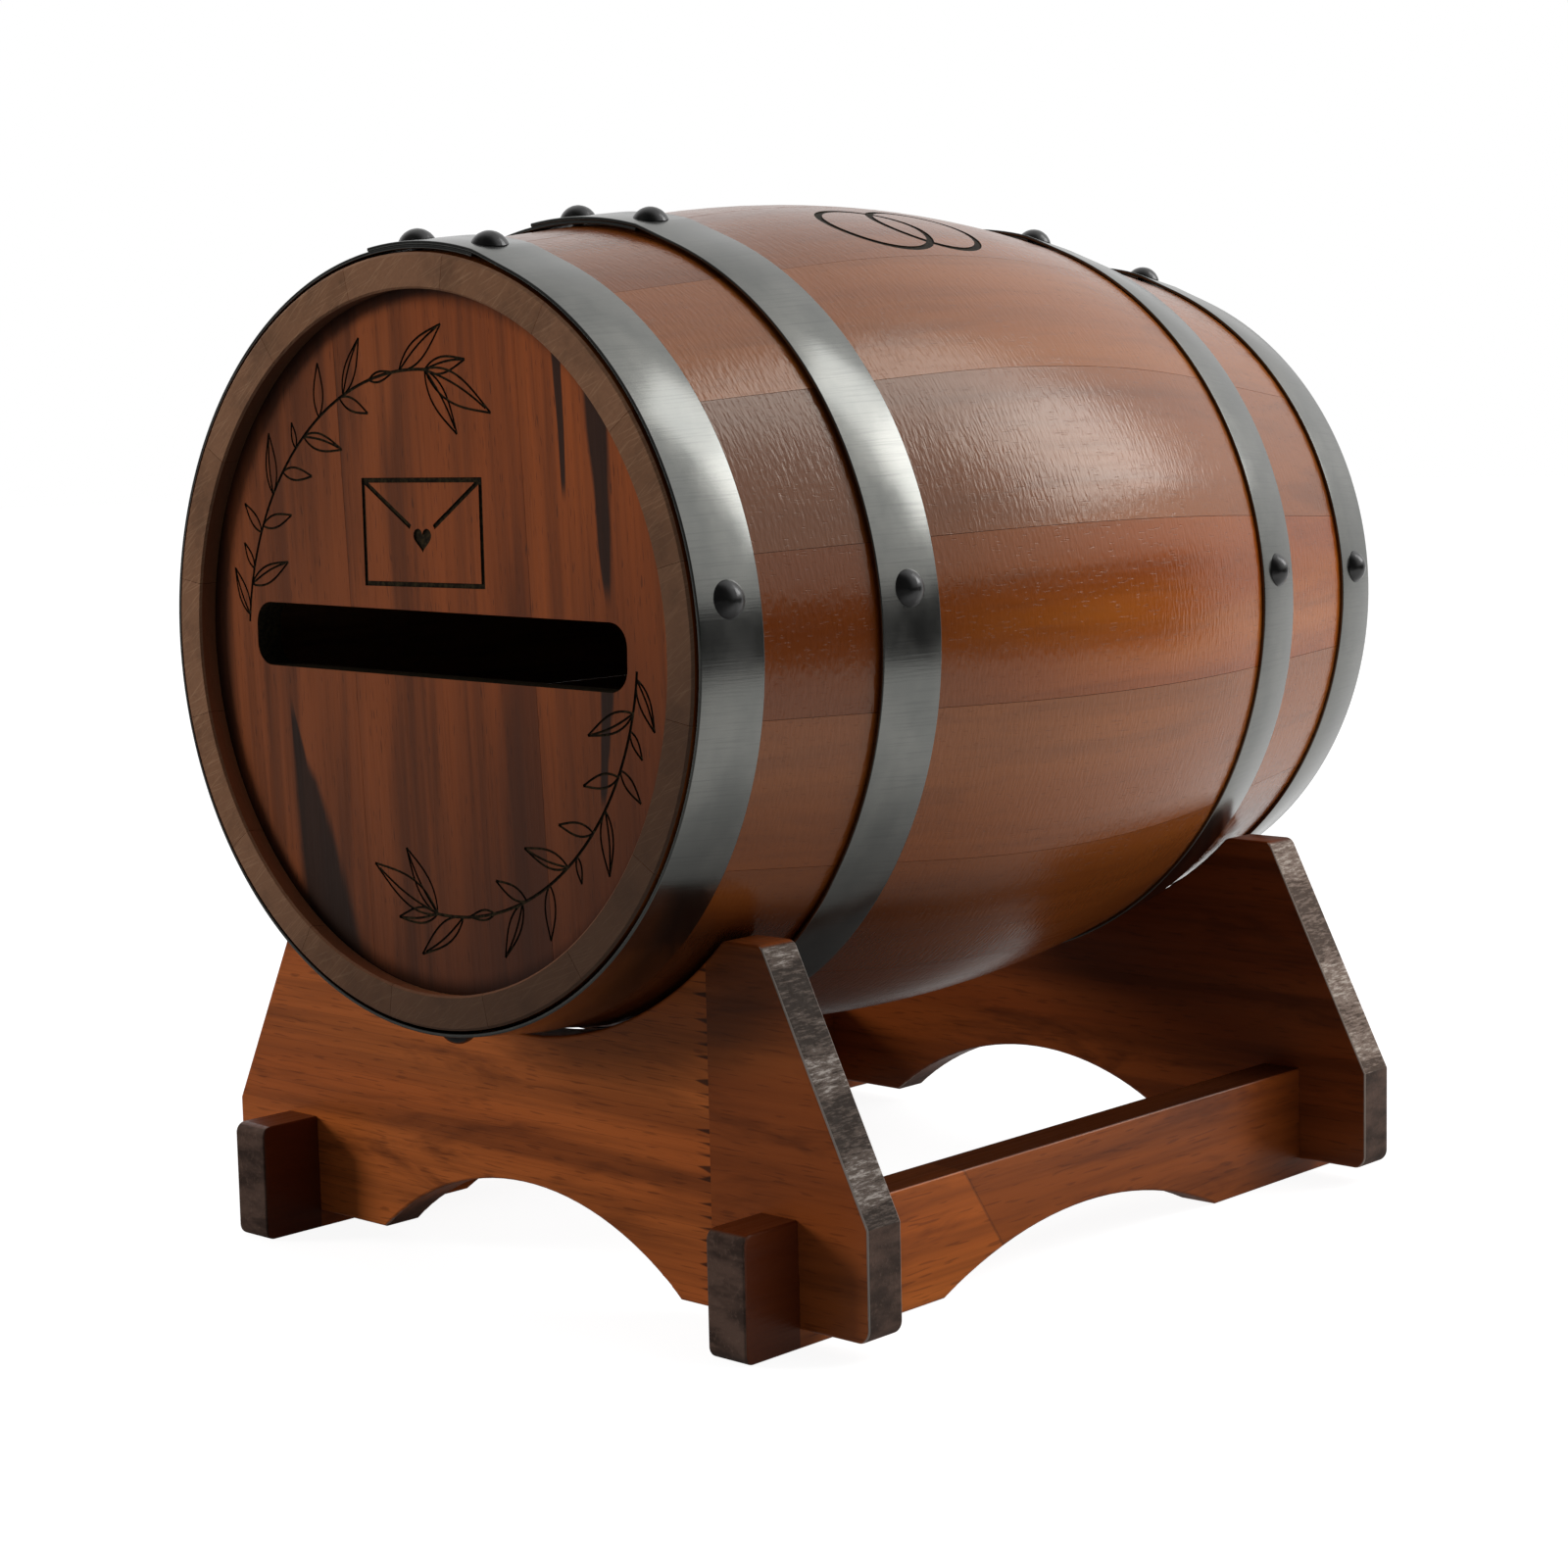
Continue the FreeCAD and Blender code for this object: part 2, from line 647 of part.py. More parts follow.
def make_rail(x):
    """Rail along the stand, with its arch and slots for the cradles."""
    half = rail_length / 2
    outline = [Vec(0, -half, 0), Vec(0, half, 0), Vec(0, half, rail_height), Vec(0, -half, rail_height)]
    rail = polygon_face(outline).extrude(Vec(rail_thickness, 0, 0))
    end_edges = [edge for edge in rail.Edges if edge.BoundBox.XLength > rail_thickness / 2]
    rail = rail.makeFillet(rail_corner_radius, end_edges)
    radius, height = arch_cutter(rail_arch_span, rail_arch_height, 0)
    depth = rail_thickness + 2 * OVERCUT
    rail = rail.cut(Part.makeCylinder(radius, depth, Vec(-OVERCUT, 0, height), Vec(1, 0, 0)))
    rail = rail.makeFillet(board_edge_radius, face_outline_edges(rail, "x"))
    slot_width = cradle_thickness + 2 * lap_joint_gap
    for side in (-1, 1):
        rail = rail.cut(Part.makeBox(depth, slot_width, rail_height,
                                     Vec(-OVERCUT, side * cradle_offset - slot_width / 2, lap_line)))
    rail.translate(Vec(x - rail_thickness / 2, 0, 0))
    return rail


def main():
    os.makedirs("parts", exist_ok=True)
    hoop_names = {"front_end": -end_hoop_offset, "front_quarter": -quarter_hoop_offset,
                  "rear_quarter": quarter_hoop_offset, "rear_end": end_hoop_offset}

    for number, stave in enumerate(make_staves(hoop_names.values()), start=1):
        export("stave_%02d" % number, on_barrel(stave))
    for name, y in hoop_names.items():
        export(name + "_hoop", on_barrel(make_hoop(y)))
        export(name + "_rivets", [on_barrel(rivet) for rivet in make_rivets(y)])
    for name, board in make_head_boards().items():
        export(name, on_barrel(board))
    export("door_stop_ring", on_barrel(make_stop_ring()))

    for name, board in zip(("left", "middle", "right"), make_door_boards()):
        export("door_%s_board" % name, on_barrel(board))
    export("door_upper_batten", on_barrel(make_batten(1)))
    export("door_lower_batten", on_barrel(make_batten(-1)))
    export("door_batten_screws", [on_barrel(screw) for screw in batten_screw_tools()[0]])

    lower, middle, upper = knuckle_spans()
    export("hinge_rim_leaf", on_barrel(make_hinge_leaf(-1, [lower, upper], rim_screw_places())))
    export("hinge_door_leaf", on_barrel(make_hinge_leaf(1, [middle], door_screw_places())))
    export("hinge_pin", on_barrel(make_hinge_pin()))
    screw = small_screw(hinge_screw_bite)
    hinge_screw_places = {"hinge_rim_screws": rim_screw_places(), "hinge_door_screws": door_screw_places()}
    for name, places in hinge_screw_places.items():
        export(name, [on_barrel(pointing(screw, Vec(0, 1, 0), place)) for place in places])

    export("lock_housing", on_barrel(make_lock_housing()))
    export("lock_nut", on_barrel(make_lock_nut()))
    export("lock_plug", on_barrel(make_lock_plug()))
    export("lock_cam", on_barrel(make_lock_cam()))
    export("lock_cam_screw", on_barrel(cam_screw_tools()[0]))

    export("front_cradle", make_cradle(-cradle_offset))
    export("rear_cradle", make_cradle(cradle_offset))
    export("left_rail", make_rail(-rail_offset))
    export("right_rail", make_rail(rail_offset))


main()
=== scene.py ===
import bpy
from collections import namedtuple
from math import acos, asin, ceil, copysign, cos, degrees, pi, radians, sin, tan
from mathutils import Matrix, Vector, geometry


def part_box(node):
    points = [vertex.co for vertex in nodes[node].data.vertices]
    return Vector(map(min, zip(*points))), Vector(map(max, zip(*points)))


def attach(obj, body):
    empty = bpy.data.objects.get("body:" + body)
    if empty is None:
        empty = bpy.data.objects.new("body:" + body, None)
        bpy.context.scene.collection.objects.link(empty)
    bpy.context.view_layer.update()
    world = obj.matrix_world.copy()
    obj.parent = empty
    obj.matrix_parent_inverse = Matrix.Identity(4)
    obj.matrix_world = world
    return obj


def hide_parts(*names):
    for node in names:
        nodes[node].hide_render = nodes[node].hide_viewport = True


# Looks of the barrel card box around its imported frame.  The barrel lies along Y with its slotted
# head towards -Y, and Z is up from the floor.  Objects are in metres, outlines in millimetres.
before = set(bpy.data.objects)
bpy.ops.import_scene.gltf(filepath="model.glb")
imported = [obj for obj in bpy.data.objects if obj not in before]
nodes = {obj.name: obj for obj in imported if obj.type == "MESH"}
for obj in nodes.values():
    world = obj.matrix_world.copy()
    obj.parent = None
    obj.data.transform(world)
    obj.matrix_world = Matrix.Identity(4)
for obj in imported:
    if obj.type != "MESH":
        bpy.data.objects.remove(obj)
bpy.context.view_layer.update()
MM = 0.001

# Camera of the photograph, with angles in degrees from +X towards +Y and upwards
CAMERA_PLACE = Vector((0.6049, -0.6638, 0.2304))
CAMERA_AZIMUTH = -47.17
CAMERA_ELEVATION = 6.77
CAMERA_ROLL = -1.26
CAMERA_LENS = 70.28
SENSOR_WIDTH = 36.0

# Barrel, as in the solids (millimetres and degrees)
ring_low, ring_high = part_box("door_stop_ring")
AXIS_HEIGHT = (ring_low.z + ring_high.z) / 2 / MM
HALF_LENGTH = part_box("stave_01")[1].y / MM
BILGE_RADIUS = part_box("stave_04")[1].z / MM - AXIS_HEIGHT
BILGE_ARC = 410.0
FRONT_TAPER_START = -BILGE_ARC * sin(radians(7.85))
REAR_TAPER_START = BILGE_ARC * sin(radians(10.0))
STAVE_COUNT = 16
STAVE_ANGLE = 360.0 / STAVE_COUNT
STAVE_WALL = 9.2
STAVE_JOINT_ANGLE = 13.5
STAVE_JOINT_GAP = 0.12
STAVE_SHARP_ANGLE = radians(12)
RIM_CHAMFER = 0.6
ON_SURFACE = 0.1

# Hoops
HOOP_WIDTH = 20.0
HOOP_THICKNESS = 1.0
HOOP_SEAT_GAP = 0.1
FRONT_HOOP_LIFT = 0.7
HOOP_EDGE_RADIUS = 0.3
HOOP_EDGE_STEPS = 4
HOOP_STEP = 1.5
HOOP_SHARP_ANGLE = radians(40)
LAP_CENTRE = 85.7
LAP_HALF_PAIR = 14.0
LAP_HEAD = 4.8
LAP_END_MARGIN = 8.0
HOOP_NAMES = ("front_end", "front_quarter", "rear_quarter", "rear_end")

# Front head
head_low, head_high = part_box("head_left_board")
HEAD_FACE = head_low.y / MM
HEAD_BACK = head_high.y / MM
HEAD_EDGE_GAP = 0.1
HEAD_EDGE_BAND = 0.01
HEAD_STEPS = 240
HEAD_TILT = radians(2.7)
HEAD_SEAMS = (-31.5, 39.0)
HEAD_SEAM_GAP = 0.1
SLOT_LENGTH = 145.0
SLOT_HEIGHT = 17.3
SLOT_CORNER = 6.0
SLOT_CORNER_STEPS = 8
SLOT_TILT = radians(-0.8)
SLOT_MARGIN_X = 1.0
SLOT_MARGIN_Z = 3.0
ENGRAVING_DEPTH = 0.45

# Leaf sprig: a stem that bends round the head, and its leaves
SPRIG_START_ANGLE = 177.0
SPRIG_END_ANGLE = 89.0
SPRIG_START_RADIUS = 75.8
SPRIG_END_RADIUS = 70.7
STEM_LINE = 0.85
STEM_STEPS = 48
LEAF_LINE = 0.62
LEAF_STEPS = 14
LEAF_SLIMNESS = 0.3
LEAF_FULLNESS = 0.85
LEAF_TIP_TAPER = 0.25
VEIN_REACH = 0.92
VEIN_BOW = 0.045
Leaf = namedtuple("Leaf", "angle length lean vein", defaults=[True])
SPRIG_LEAVES = (
    Leaf(angle=175.5, length=14.0, lean=29),
    Leaf(angle=169.0, length=17.3, lean=-58),
    Leaf(angle=165.6, length=8.0, lean=44, vein=False),
    Leaf(angle=157.5, length=10.4, lean=64, vein=False),
    Leaf(angle=156.0, length=12.9, lean=-53, vein=False),
    Leaf(angle=148.4, length=16.5, lean=35),
    Leaf(angle=142.6, length=12.5, lean=-58, vein=False),
    Leaf(angle=135.8, length=7.0, lean=56, vein=False),
    Leaf(angle=132.2, length=16.4, lean=-55),
    Leaf(angle=125.5, length=14.3, lean=54, vein=False),
    Leaf(angle=117.5, length=12.2, lean=-48, vein=False),
    Leaf(angle=116.2, length=16.4, lean=38),
    Leaf(angle=107.1, length=9.7, lean=-7, vein=False),
    Leaf(angle=97.2, length=20.3, lean=27),
    Leaf(angle=89.0, length=15.7, lean=9),
    Leaf(angle=89.0, length=27.2, lean=-24),
    Leaf(angle=89.0, length=20.3, lean=-54),
)

# Envelope above the slot, and the pair of rings on top of the barrel
ENVELOPE_CENTRE = (-2.0, 29.0)
ENVELOPE_SIZE = (46.0, 27.0)
ENVELOPE_LINE = 1.3
FLAP_DROP = 0.56
FLAP_REACH = 0.8
HEART_SIZE = 7.0
RING_STAVE = 3
RING_STAVE_ROWS = 60
RING_STAVE_COLUMNS = 16
RING_ANGLE = 68.5
RING_MIDDLE = -5.0
RING_RADIUS = 16.0
RING_SPREAD = 10.5
RING_LINE = 2.2
RING_DEPTH = 0.35


def tone(red, green, blue):
    """Linear colour of a tone given in the usual 0 to 255 steps."""
    def linear(step):
        share = step / 255
        return share / 12.92 if share <= 0.04045 else ((share + 0.055) / 1.055) ** 2.4
    return (linear(red), linear(green), linear(blue), 1.0)


# Tones of the materials
Tones = namedtuple("Tones", "dark mid light")
AMBER = Tones(tone(100, 44, 13), tone(164, 79, 24), tone(186, 102, 32))
RUSSET = Tones(tone(100, 49, 18), tone(151, 79, 28), tone(165, 91, 35))
CHESTNUT = Tones(tone(108, 54, 20), tone(164, 87, 31), tone(176, 99, 38))
UMBER = Tones(tone(94, 46, 18), tone(143, 74, 27), tone(157, 86, 34))
AMBER_STAVE = 16
STAVE_TONES = (RUSSET, RUSSET, CHESTNUT, RUSSET, UMBER)
STAVE_GRAIN_SHIFT = (0.37, 0.53)
DARK_FRONT_STAVES = (1, AMBER_STAVE)
DARK_FRONT_STAIN = 0.8
FRONT_STAIN = 0.35
# Painted shade on the barrel's underside, strongest towards the front
UNDERSIDE_SHADE_TONE = tone(52, 20, 7)
# Painted shade: the barrel's front darkens towards its lower right
LOW_PAINTED_SHADE_TURN = radians(-55)
HEAD_TONES = Tones(tone(66, 43, 34), tone(138, 76, 45), tone(158, 87, 51))
HEAD_RIGHT_TONES = Tones(tone(80, 49, 37), tone(172, 89, 46), tone(192, 103, 53))
HEAD_GRAIN_STEP = (0.31, 0.7, 0.0)
# Painted shade round the head's edge, in the recess under the rim
CORNER_SHADE_TONE = tone(26, 13, 8)
CORNER_SHADE_WIDTH = 6.0
DOOR_TONES = Tones(tone(64, 38, 26), tone(122, 61, 31), tone(140, 71, 36))
STAND_TONES = Tones(tone(84, 38, 18), tone(186, 95, 42), tone(202, 110, 51))
# Shaded copy of the stand's tones: painted shade on the rear cradle under the barrel
SHADED_REAR_STAND_TONES = Tones(tone(68, 29, 12), tone(121, 55, 21), tone(136, 68, 28))
RAIL_TONES = Tones(tone(88, 36, 13), tone(206, 106, 38), tone(218, 120, 48))
# Painted shade on the rails' front stubs, and the barrel's painted shadow on their tops
RAIL_STUB_SHADE_TONE = tone(92, 39, 17)
RAIL_TOP_SHADOW_TONE = tone(46, 19, 8)
INNER_TONES = Tones(tone(120, 88, 60), tone(158, 120, 84), tone(184, 148, 108))
RIM_TONES = (Tones(tone(64, 47, 38), tone(136, 97, 72), tone(160, 116, 87)),
             Tones(tone(64, 46, 37), tone(132, 93, 68), tone(154, 111, 82)))
RIM_SCRATCH = tone(196, 154, 120)
RIM_SCRATCH_TURNS = (0.7, 0.35)
RIM_SCRATCH_SHARE = 0.3
# Painted shade inside the chime: dark at the top under the rim, lighter at the foot
CHIME_SHADED_TOP = tone(100, 63, 42)
CHIME_LIT_FOOT = tone(170, 104, 68)
FRONT_SAWN = Tones(tone(48, 36, 31), tone(98, 84, 76), tone(184, 174, 166))
# Lit copy of the sawn tones: painted light on the rear cradle's slopes
LIT_REAR_SAWN = Tones(tone(84, 66, 56), tone(138, 118, 106), tone(206, 192, 180))
CUT_TONES = Tones(tone(62, 47, 41), tone(98, 76, 66), tone(124, 100, 88))
STREAK_TONE = tone(46, 37, 33)
GLUE_TONE = tone(44, 22, 15)
STEEL_TONES = Tones(tone(88, 89, 88), tone(106, 107, 104), tone(120, 120, 116))
VARNISH_TINT = (1.0, 0.95, 0.82, 1.0)
Shades = namedtuple("Shades", "dark light")
CHARRED = Shades(tone(30, 24, 17), tone(62, 52, 34))
RIVET_BLACK = Shades(tone(22, 22, 21), tone(32, 31, 30))
BRASS = Shades(tone(168, 134, 74), tone(196, 164, 98))
CHROME = Shades(tone(180, 181, 184), tone(206, 206, 208))
ZINC = Shades(tone(148, 148, 144), tone(176, 176, 172))

# Noise in the materials: how often it changes in a metre along each axis, and how it breaks up
Noise = namedtuple("Noise", "scale detail roughness distortion turn", defaults=[0.0, (0, 0, 0)])
BROAD_FIGURE = Noise((26, 2.6, 26), 2, 0.55, 0.8)
DARK_BANDS = Noise((120, 3.5, 120), 3, 0.6, 0.3)
FIBRES = Noise((900, 26, 900), 2, 0.6)
PORES = Noise((2600, 220, 2600), 0, 0.5)
STAND_PORES = Noise((1500, 110, 1500), 0, 0.5)
STAND_CLOUDS = Noise((80, 14, 80), 4, 0.65, 0.6)
HEAD_CLOUDS = Noise((52, 3.2, 52), 3, 0.6, 0.4)
STREAK_WOBBLE = Noise((90, 9, 90), 3, 0.6)
LATHE_RIPPLE = Noise((310, 1000, 310), 1, 0.5)
RIM_BLOTCHES = Noise((70, 70, 70), 4, 0.65)
SCRATCH_LINES = Noise((90, 90, 3200), 1, 0.5)
SAW_STROKES = Noise((1200, 190, 1200), 4, 0.75)
SAW_BANDS = Noise((40, 12, 75), 2, 0.5)
CUT_BANDS = Noise((70, 70, 190), 3, 0.6, turn=(0.5, 0.5, 0))
UNEVEN_FINGERS = Noise((0, 0, 210), 1, 0.5)
SOOT = Noise((900, 900, 900), 3, 0.6)
STEEL_LINES = Noise((1700, 45, 1), 2, 0.6)
STEEL_SMUDGES = Noise((45, 60, 45), 3, 0.6)
PAINT_PEEL = Noise((700, 700, 700), 2, 0.5)
METAL_SMUDGES = Noise((160, 160, 160), 4, 0.6)
METAL_WEAR = Noise((2200, 2200, 2200), 2, 0.5)

# Where stains and painted shades begin and where they are full, in metres along X, Y or Z, or up from the
# axis
FRONT_STAIN_REACH = (0.03, -0.1)
UNDERSIDE_SHADE_REACH = (-0.056, -0.074)
UNDERSIDE_SHADE_FRONT_REACH = (0.0, -0.1)
INSIDE_REACH = (-0.005, -0.04)
CHIME_SHADE_REACH = (0.05, -0.06)
LOW_PAINTED_SHADE_REACH = (-0.02, 0.1)
HEAD_WARM_REACH = (-0.06, 0.06)
CRADLE_SHADE_REACH = (0.07, 0.1)
FINGER_EDGE = (-0.0002, 0.0003)
SCARF_EDGE = (0.0008, 0.0002)
FLOOR_GLOW_REACH = (0.02, 0.4)

# Black streaks of the head, in millimetres from its centre
Streak = namedtuple("Streak", "top bottom high_x low_x high_half low_half")
STREAK_SHAKE = 0.008
HEAD_STREAKS = (
    Streak(top=88.0, bottom=36.0, high_x=49.0, low_x=52.0, high_half=1.9, low_half=0.7),
    Streak(top=78.0, bottom=10.0, high_x=63.0, low_x=66.5, high_half=5.4, low_half=0.9),
    Streak(top=6.0, bottom=-40.0, high_x=66.5, low_x=62.0, high_half=2.6, low_half=0.9),
    Streak(top=-14.0, bottom=-92.0, high_x=-60.0, low_x=-41.0, high_half=0.6, low_half=14.0),
)

# Glued joints in the stand
Joint = namedtuple("Joint", "beyond line darker")
JOINT_GRAIN_STEP = (0.0, 0.9, 0.4)
FINGER_BASE = 71.0
FINGER_LENGTH = 5.0
FINGER_PITCH = 3.2
FINGER_FILL = 0.42
FINGER_DARKER = 0.5
SCARF_PLACE = -45.5
SCARF_HEIGHT = 21.0
SCARF_LEAN = 0.68
SCARF_DARKER = 0.42

# Studio: angles in degrees from +X towards +Y and upwards, lengths in metres
STUDIO_CENTRE = Vector((0, 0, 0.17))
BRIGHT_AZIMUTH = 100
BRIGHT_WALL = 0.88
DIM_WALL = 0.05
FILL_WALL = 0.05
HALO = 0.35
SOFTBOX_DISTANCE = 3.0
Softbox = namedtuple("Softbox", "azimuth elevation width height radiance reflected", defaults=[True])
KEY_LOW = Softbox(azimuth=57, elevation=27, width=1.06, height=1.0, radiance=4.8)
KEY_HIGH = Softbox(azimuth=57, elevation=45.5, width=1.06, height=1.0, radiance=2.9)
FILL = Softbox(azimuth=-138, elevation=14, width=0.85, height=0.85, radiance=18.0, reflected=False)
FLOOR_REACH = 8.0
SEEN_FLOOR_LEVEL = -0.0002
LIGHTING_FLOOR_LEVEL = -0.0004
SEEN_FLOOR_GREY = 0.3
LIGHTING_FLOOR_GREY = 0.2
SEEN_GLOW = 0.92
LIGHTING_GLOW = 0.82
SHADED_SHARE = 0.07
FloorShade = namedtuple("FloorShade", "azimuth start end")
FLOOR_SHADES = (FloorShade(azimuth=-60, start=0.17, end=0.5), FloorShade(azimuth=-120, start=-0.05, end=0.2))
CARD_GREY = 0.05
CARD_DISTANCE = 1.2
CARD_HEIGHT = 0.33
CARD_START = -20
CARD_END = 60
CARD_STEPS = 20


# Barrel geometry

def outer_lean(y):
    """Angle between the barrel's outside and its axis, positive where the radius shrinks with y."""
    return asin(min(max(y, FRONT_TAPER_START), REAR_TAPER_START) / BILGE_ARC)


def outer_radius(y):
    """Radius of the barrel's outside at a place along it: an arc, and tangents to it beyond its ends."""
    lean = outer_lean(y)
    arc_y = BILGE_ARC * sin(lean)
    return BILGE_RADIUS - BILGE_ARC * (1 - cos(lean)) - (y - arc_y) * tan(lean)


def inner_radius(y):
    """Radius of the barrel's inside at a distance y from its middle."""
    return outer_radius(y) - STAVE_WALL


def barrel_point(angle, y, radius):
    """Point at an angle around the barrel's axis, in degrees; it comes out in metres."""
    turn = radians(angle)
    return Vector((radius * cos(turn), y, AXIS_HEIGHT + radius * sin(turn))) * MM


def turned(point, angle):
    """Flat point turned anticlockwise about the origin."""
    x, z = point
    return (x * cos(angle) - z * sin(angle), x * sin(angle) + z * cos(angle))


# Flat outlines

def spread(start, end, count):
    """Even steps from start to end, with both of them."""
    return [start + (end - start) * step / count for step in range(count + 1)]


def ribbon(points, width):
    """Outline of a line of this width drawn through the points."""
    half = width / 2
    left, right = [], []
    for index, point in enumerate(points):
        before = Vector(points[max(index - 1, 0)])
        after = Vector(points[min(index + 1, len(points) - 1)])
        along = (after - before).normalized()
        across = Vector((-along.y, along.x)) * half
        left.append(tuple(Vector(point) + across))
        right.append(tuple(Vector(point) - across))
    return left + right[::-1]


def arc(centre, radius, start, end, count):
    """Points along an arc, with its angles in radians."""
    turns = spread(start, end, count)
    return [(centre[0] + radius * cos(turn), centre[1] + radius * sin(turn)) for turn in turns]


def ring_strokes(centre, radius, width, count=48):
    """A drawn circle, as two half rings that overlap a little."""
    spare = pi / count
    halves = ((-spare, pi + spare), (pi - spare, 2 * pi + spare))
    return [ribbon(arc(centre, radius, start, end, count), width) for start, end in halves]


def rounded_outline(x, high, low, radius, steps):
    """Outline of a rectangle with round corners, given the centres of the corners' arcs."""
    outline = []
    for quarter, corner in enumerate(((x, high), (-x, high), (-x, low), (x, low))):
        start = quarter * pi / 2
        outline += arc(corner, radius, start, start + pi / 2, steps)
    return outline


def slot_outline():
    """Outline of the card slot."""
    x, z = SLOT_LENGTH / 2 - SLOT_CORNER, SLOT_HEIGHT / 2 - SLOT_CORNER
    return [turned(point, SLOT_TILT) for point in rounded_outline(x, z, -z, SLOT_CORNER, SLOT_CORNER_STEPS)]


def stem_point(angle):
    """Place on the sprig's stem at an angle around the head."""
    share = (angle - SPRIG_END_ANGLE) / (SPRIG_START_ANGLE - SPRIG_END_ANGLE)
    radius = SPRIG_END_RADIUS + share * (SPRIG_START_RADIUS - SPRIG_END_RADIUS)
    turn = radians(angle)
    return Vector((radius * cos(turn), radius * sin(turn)))


def leaf_strokes(leaf):
    """Pointed almond leaf: two bowed sides, and a vein in the larger leaves."""
    base = stem_point(leaf.angle)
    heading = radians(leaf.angle - 90 + leaf.lean)
    along = Vector((cos(heading), sin(heading)))
    across = Vector((-along.y, along.x))

    def stroke(reach, bow):
        shares = spread(0, reach, LEAF_STEPS)
        points = [base + along * leaf.length * share + across * bow(share) for share in shares]
        return ribbon(points, LEAF_LINE)

    def side_bow(share):
        bow = sin(pi * share ** LEAF_FULLNESS) * (1 - LEAF_TIP_TAPER * share)
        return bow * leaf.length * LEAF_SLIMNESS / 2

    def vein_bow(share):
        return VEIN_BOW * leaf.length * sin(pi * share)

    strokes = [stroke(1, lambda share: side * side_bow(share)) for side in (-1, 1)]
    if leaf.vein:
        strokes.append(stroke(VEIN_REACH, vein_bow))
    return strokes


def sprig_strokes():
    """Both leaf sprigs of the head: the same one twice, half a turn apart."""
    angles = spread(SPRIG_START_ANGLE, SPRIG_END_ANGLE, STEM_STEPS)
    strokes = [ribbon([stem_point(angle) for angle in angles], STEM_LINE)]
    for leaf in SPRIG_LEAVES:
        strokes += leaf_strokes(leaf)
    opposite = [[(-x, -z) for x, z in stroke] for stroke in strokes]
    return strokes + opposite


def heart(centre, size, count=40):
    """Outline of a heart, by the usual curve of sines, which is 32 wide."""
    points = []
    for turn in spread(0, 2 * pi, count)[:-1]:
        x = 16 * sin(turn) ** 3
        z = 13 * cos(turn) - 5 * cos(2 * turn) - 2 * cos(3 * turn) - cos(4 * turn)
        points.append((centre[0] + x * size / 32, centre[1] + z * size / 32))
    return points


def envelope_strokes():
    """Plain envelope with a pointed flap and a heart-shaped seal."""
    x, z = ENVELOPE_CENTRE
    half_width, half_height = ENVELOPE_SIZE[0] / 2, ENVELOPE_SIZE[1] / 2
    reach = ENVELOPE_LINE / 2
    left, right, low, high = x - half_width, x + half_width, z - half_height, z + half_height
    seal = (x, high - FLAP_DROP * ENVELOPE_SIZE[1])
    lines = [[(left - reach, low), (right + reach, low)], [(left - reach, high), (right + reach, high)],
             [(left, low - reach), (left, high + reach)], [(right, low - reach), (right, high + reach)]]
    for side in (left, right):
        flap_end = (side + (x - side) * FLAP_REACH, high + (seal[1] - high) * FLAP_REACH)
        lines.append([(side, high), flap_end])
    return [ribbon(line, ENVELOPE_LINE) for line in lines] + [heart(seal, HEART_SIZE)]


# Meshes

def new_object(name, data):
    """Object in the scene for a mesh, a light or a camera."""
    item = bpy.data.objects.new(name, data)
    bpy.context.scene.collection.objects.link(item)
    return item


def new_mesh(name, vertices, faces):
    """Mesh of these vertices and faces."""
    mesh = bpy.data.meshes.new(name)
    mesh.from_pydata(vertices, [], faces)
    return mesh


def finish_piece(prefix, node, mesh, materials):
    """Object for a mesh that stands in for one of the barrel's CAD nodes and moves with the barrel."""
    for material in materials:
        mesh.materials.append(material)
    piece = new_object(prefix + node, mesh)
    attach(piece, "barrel")
    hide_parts(node)


def cut_outlines(outlines, extra_points):
    """Triangles of overlapping flat outlines, each with the set of outlines that it lies in."""
    inside_only, merge_distance = 1, 1e-5
    points, polygons = [], []
    for outline in outlines:
        area = sum(a[0] * b[1] - b[0] * a[1] for a, b in zip(outline, outline[1:] + outline[:1]))
        ordered = outline if area > 0 else outline[::-1]
        polygons.append(list(range(len(points), len(points) + len(ordered))))
        points += ordered
    vectors = [Vector(point) for point in points + extra_points]
    result = geometry.delaunay_2d_cdt(vectors, [], polygons, inside_only, merge_distance)
    places, _, triangles, _, _, sources = result
    return places, [list(triangle) for triangle in triangles], [set(source) for source in sources]


def engraved_plate(name, places, triangles, cut, front, back, depth):
    """Closed plate whose cut triangles lie deeper; front and back turn a flat place into a point."""
    vertices, faces, marks, found = [], [], [], {}
    depths = {"top": 0, "floor": depth}

    def vertex(kind, index):
        key = (kind, index)
        if key not in found:
            found[key] = len(vertices)
            place = places[index]
            vertices.append(back(place) if kind == "back" else front(place, depths[kind]))
        return found[key]

    def add(corners, mark):
        faces.append([vertex(kind, index) for kind, index in corners])
        marks.append(mark)

    owner = {}
    for triangle, is_cut in zip(triangles, cut):
        level = "floor" if is_cut else "top"
        add([(level, index) for index in triangle], int(is_cut))
        add([("back", index) for index in reversed(triangle)], 0)
        for start, end in zip(triangle, triangle[1:] + triangle[:1]):
            owner[(start, end)] = level
    for (start, end), level in owner.items():
        other = owner.get((end, start))
        if other is None:
            add([(level, start), ("back", start), ("back", end), (level, end)], 0)
        elif level == "top" and other == "floor":
            add([("top", start), ("floor", start), ("floor", end), ("top", end)], 1)
    mesh = new_mesh(name, vertices, faces)
    mesh.polygons.foreach_set("material_index", marks)
    mesh.validate()
    mesh.update()
    return mesh


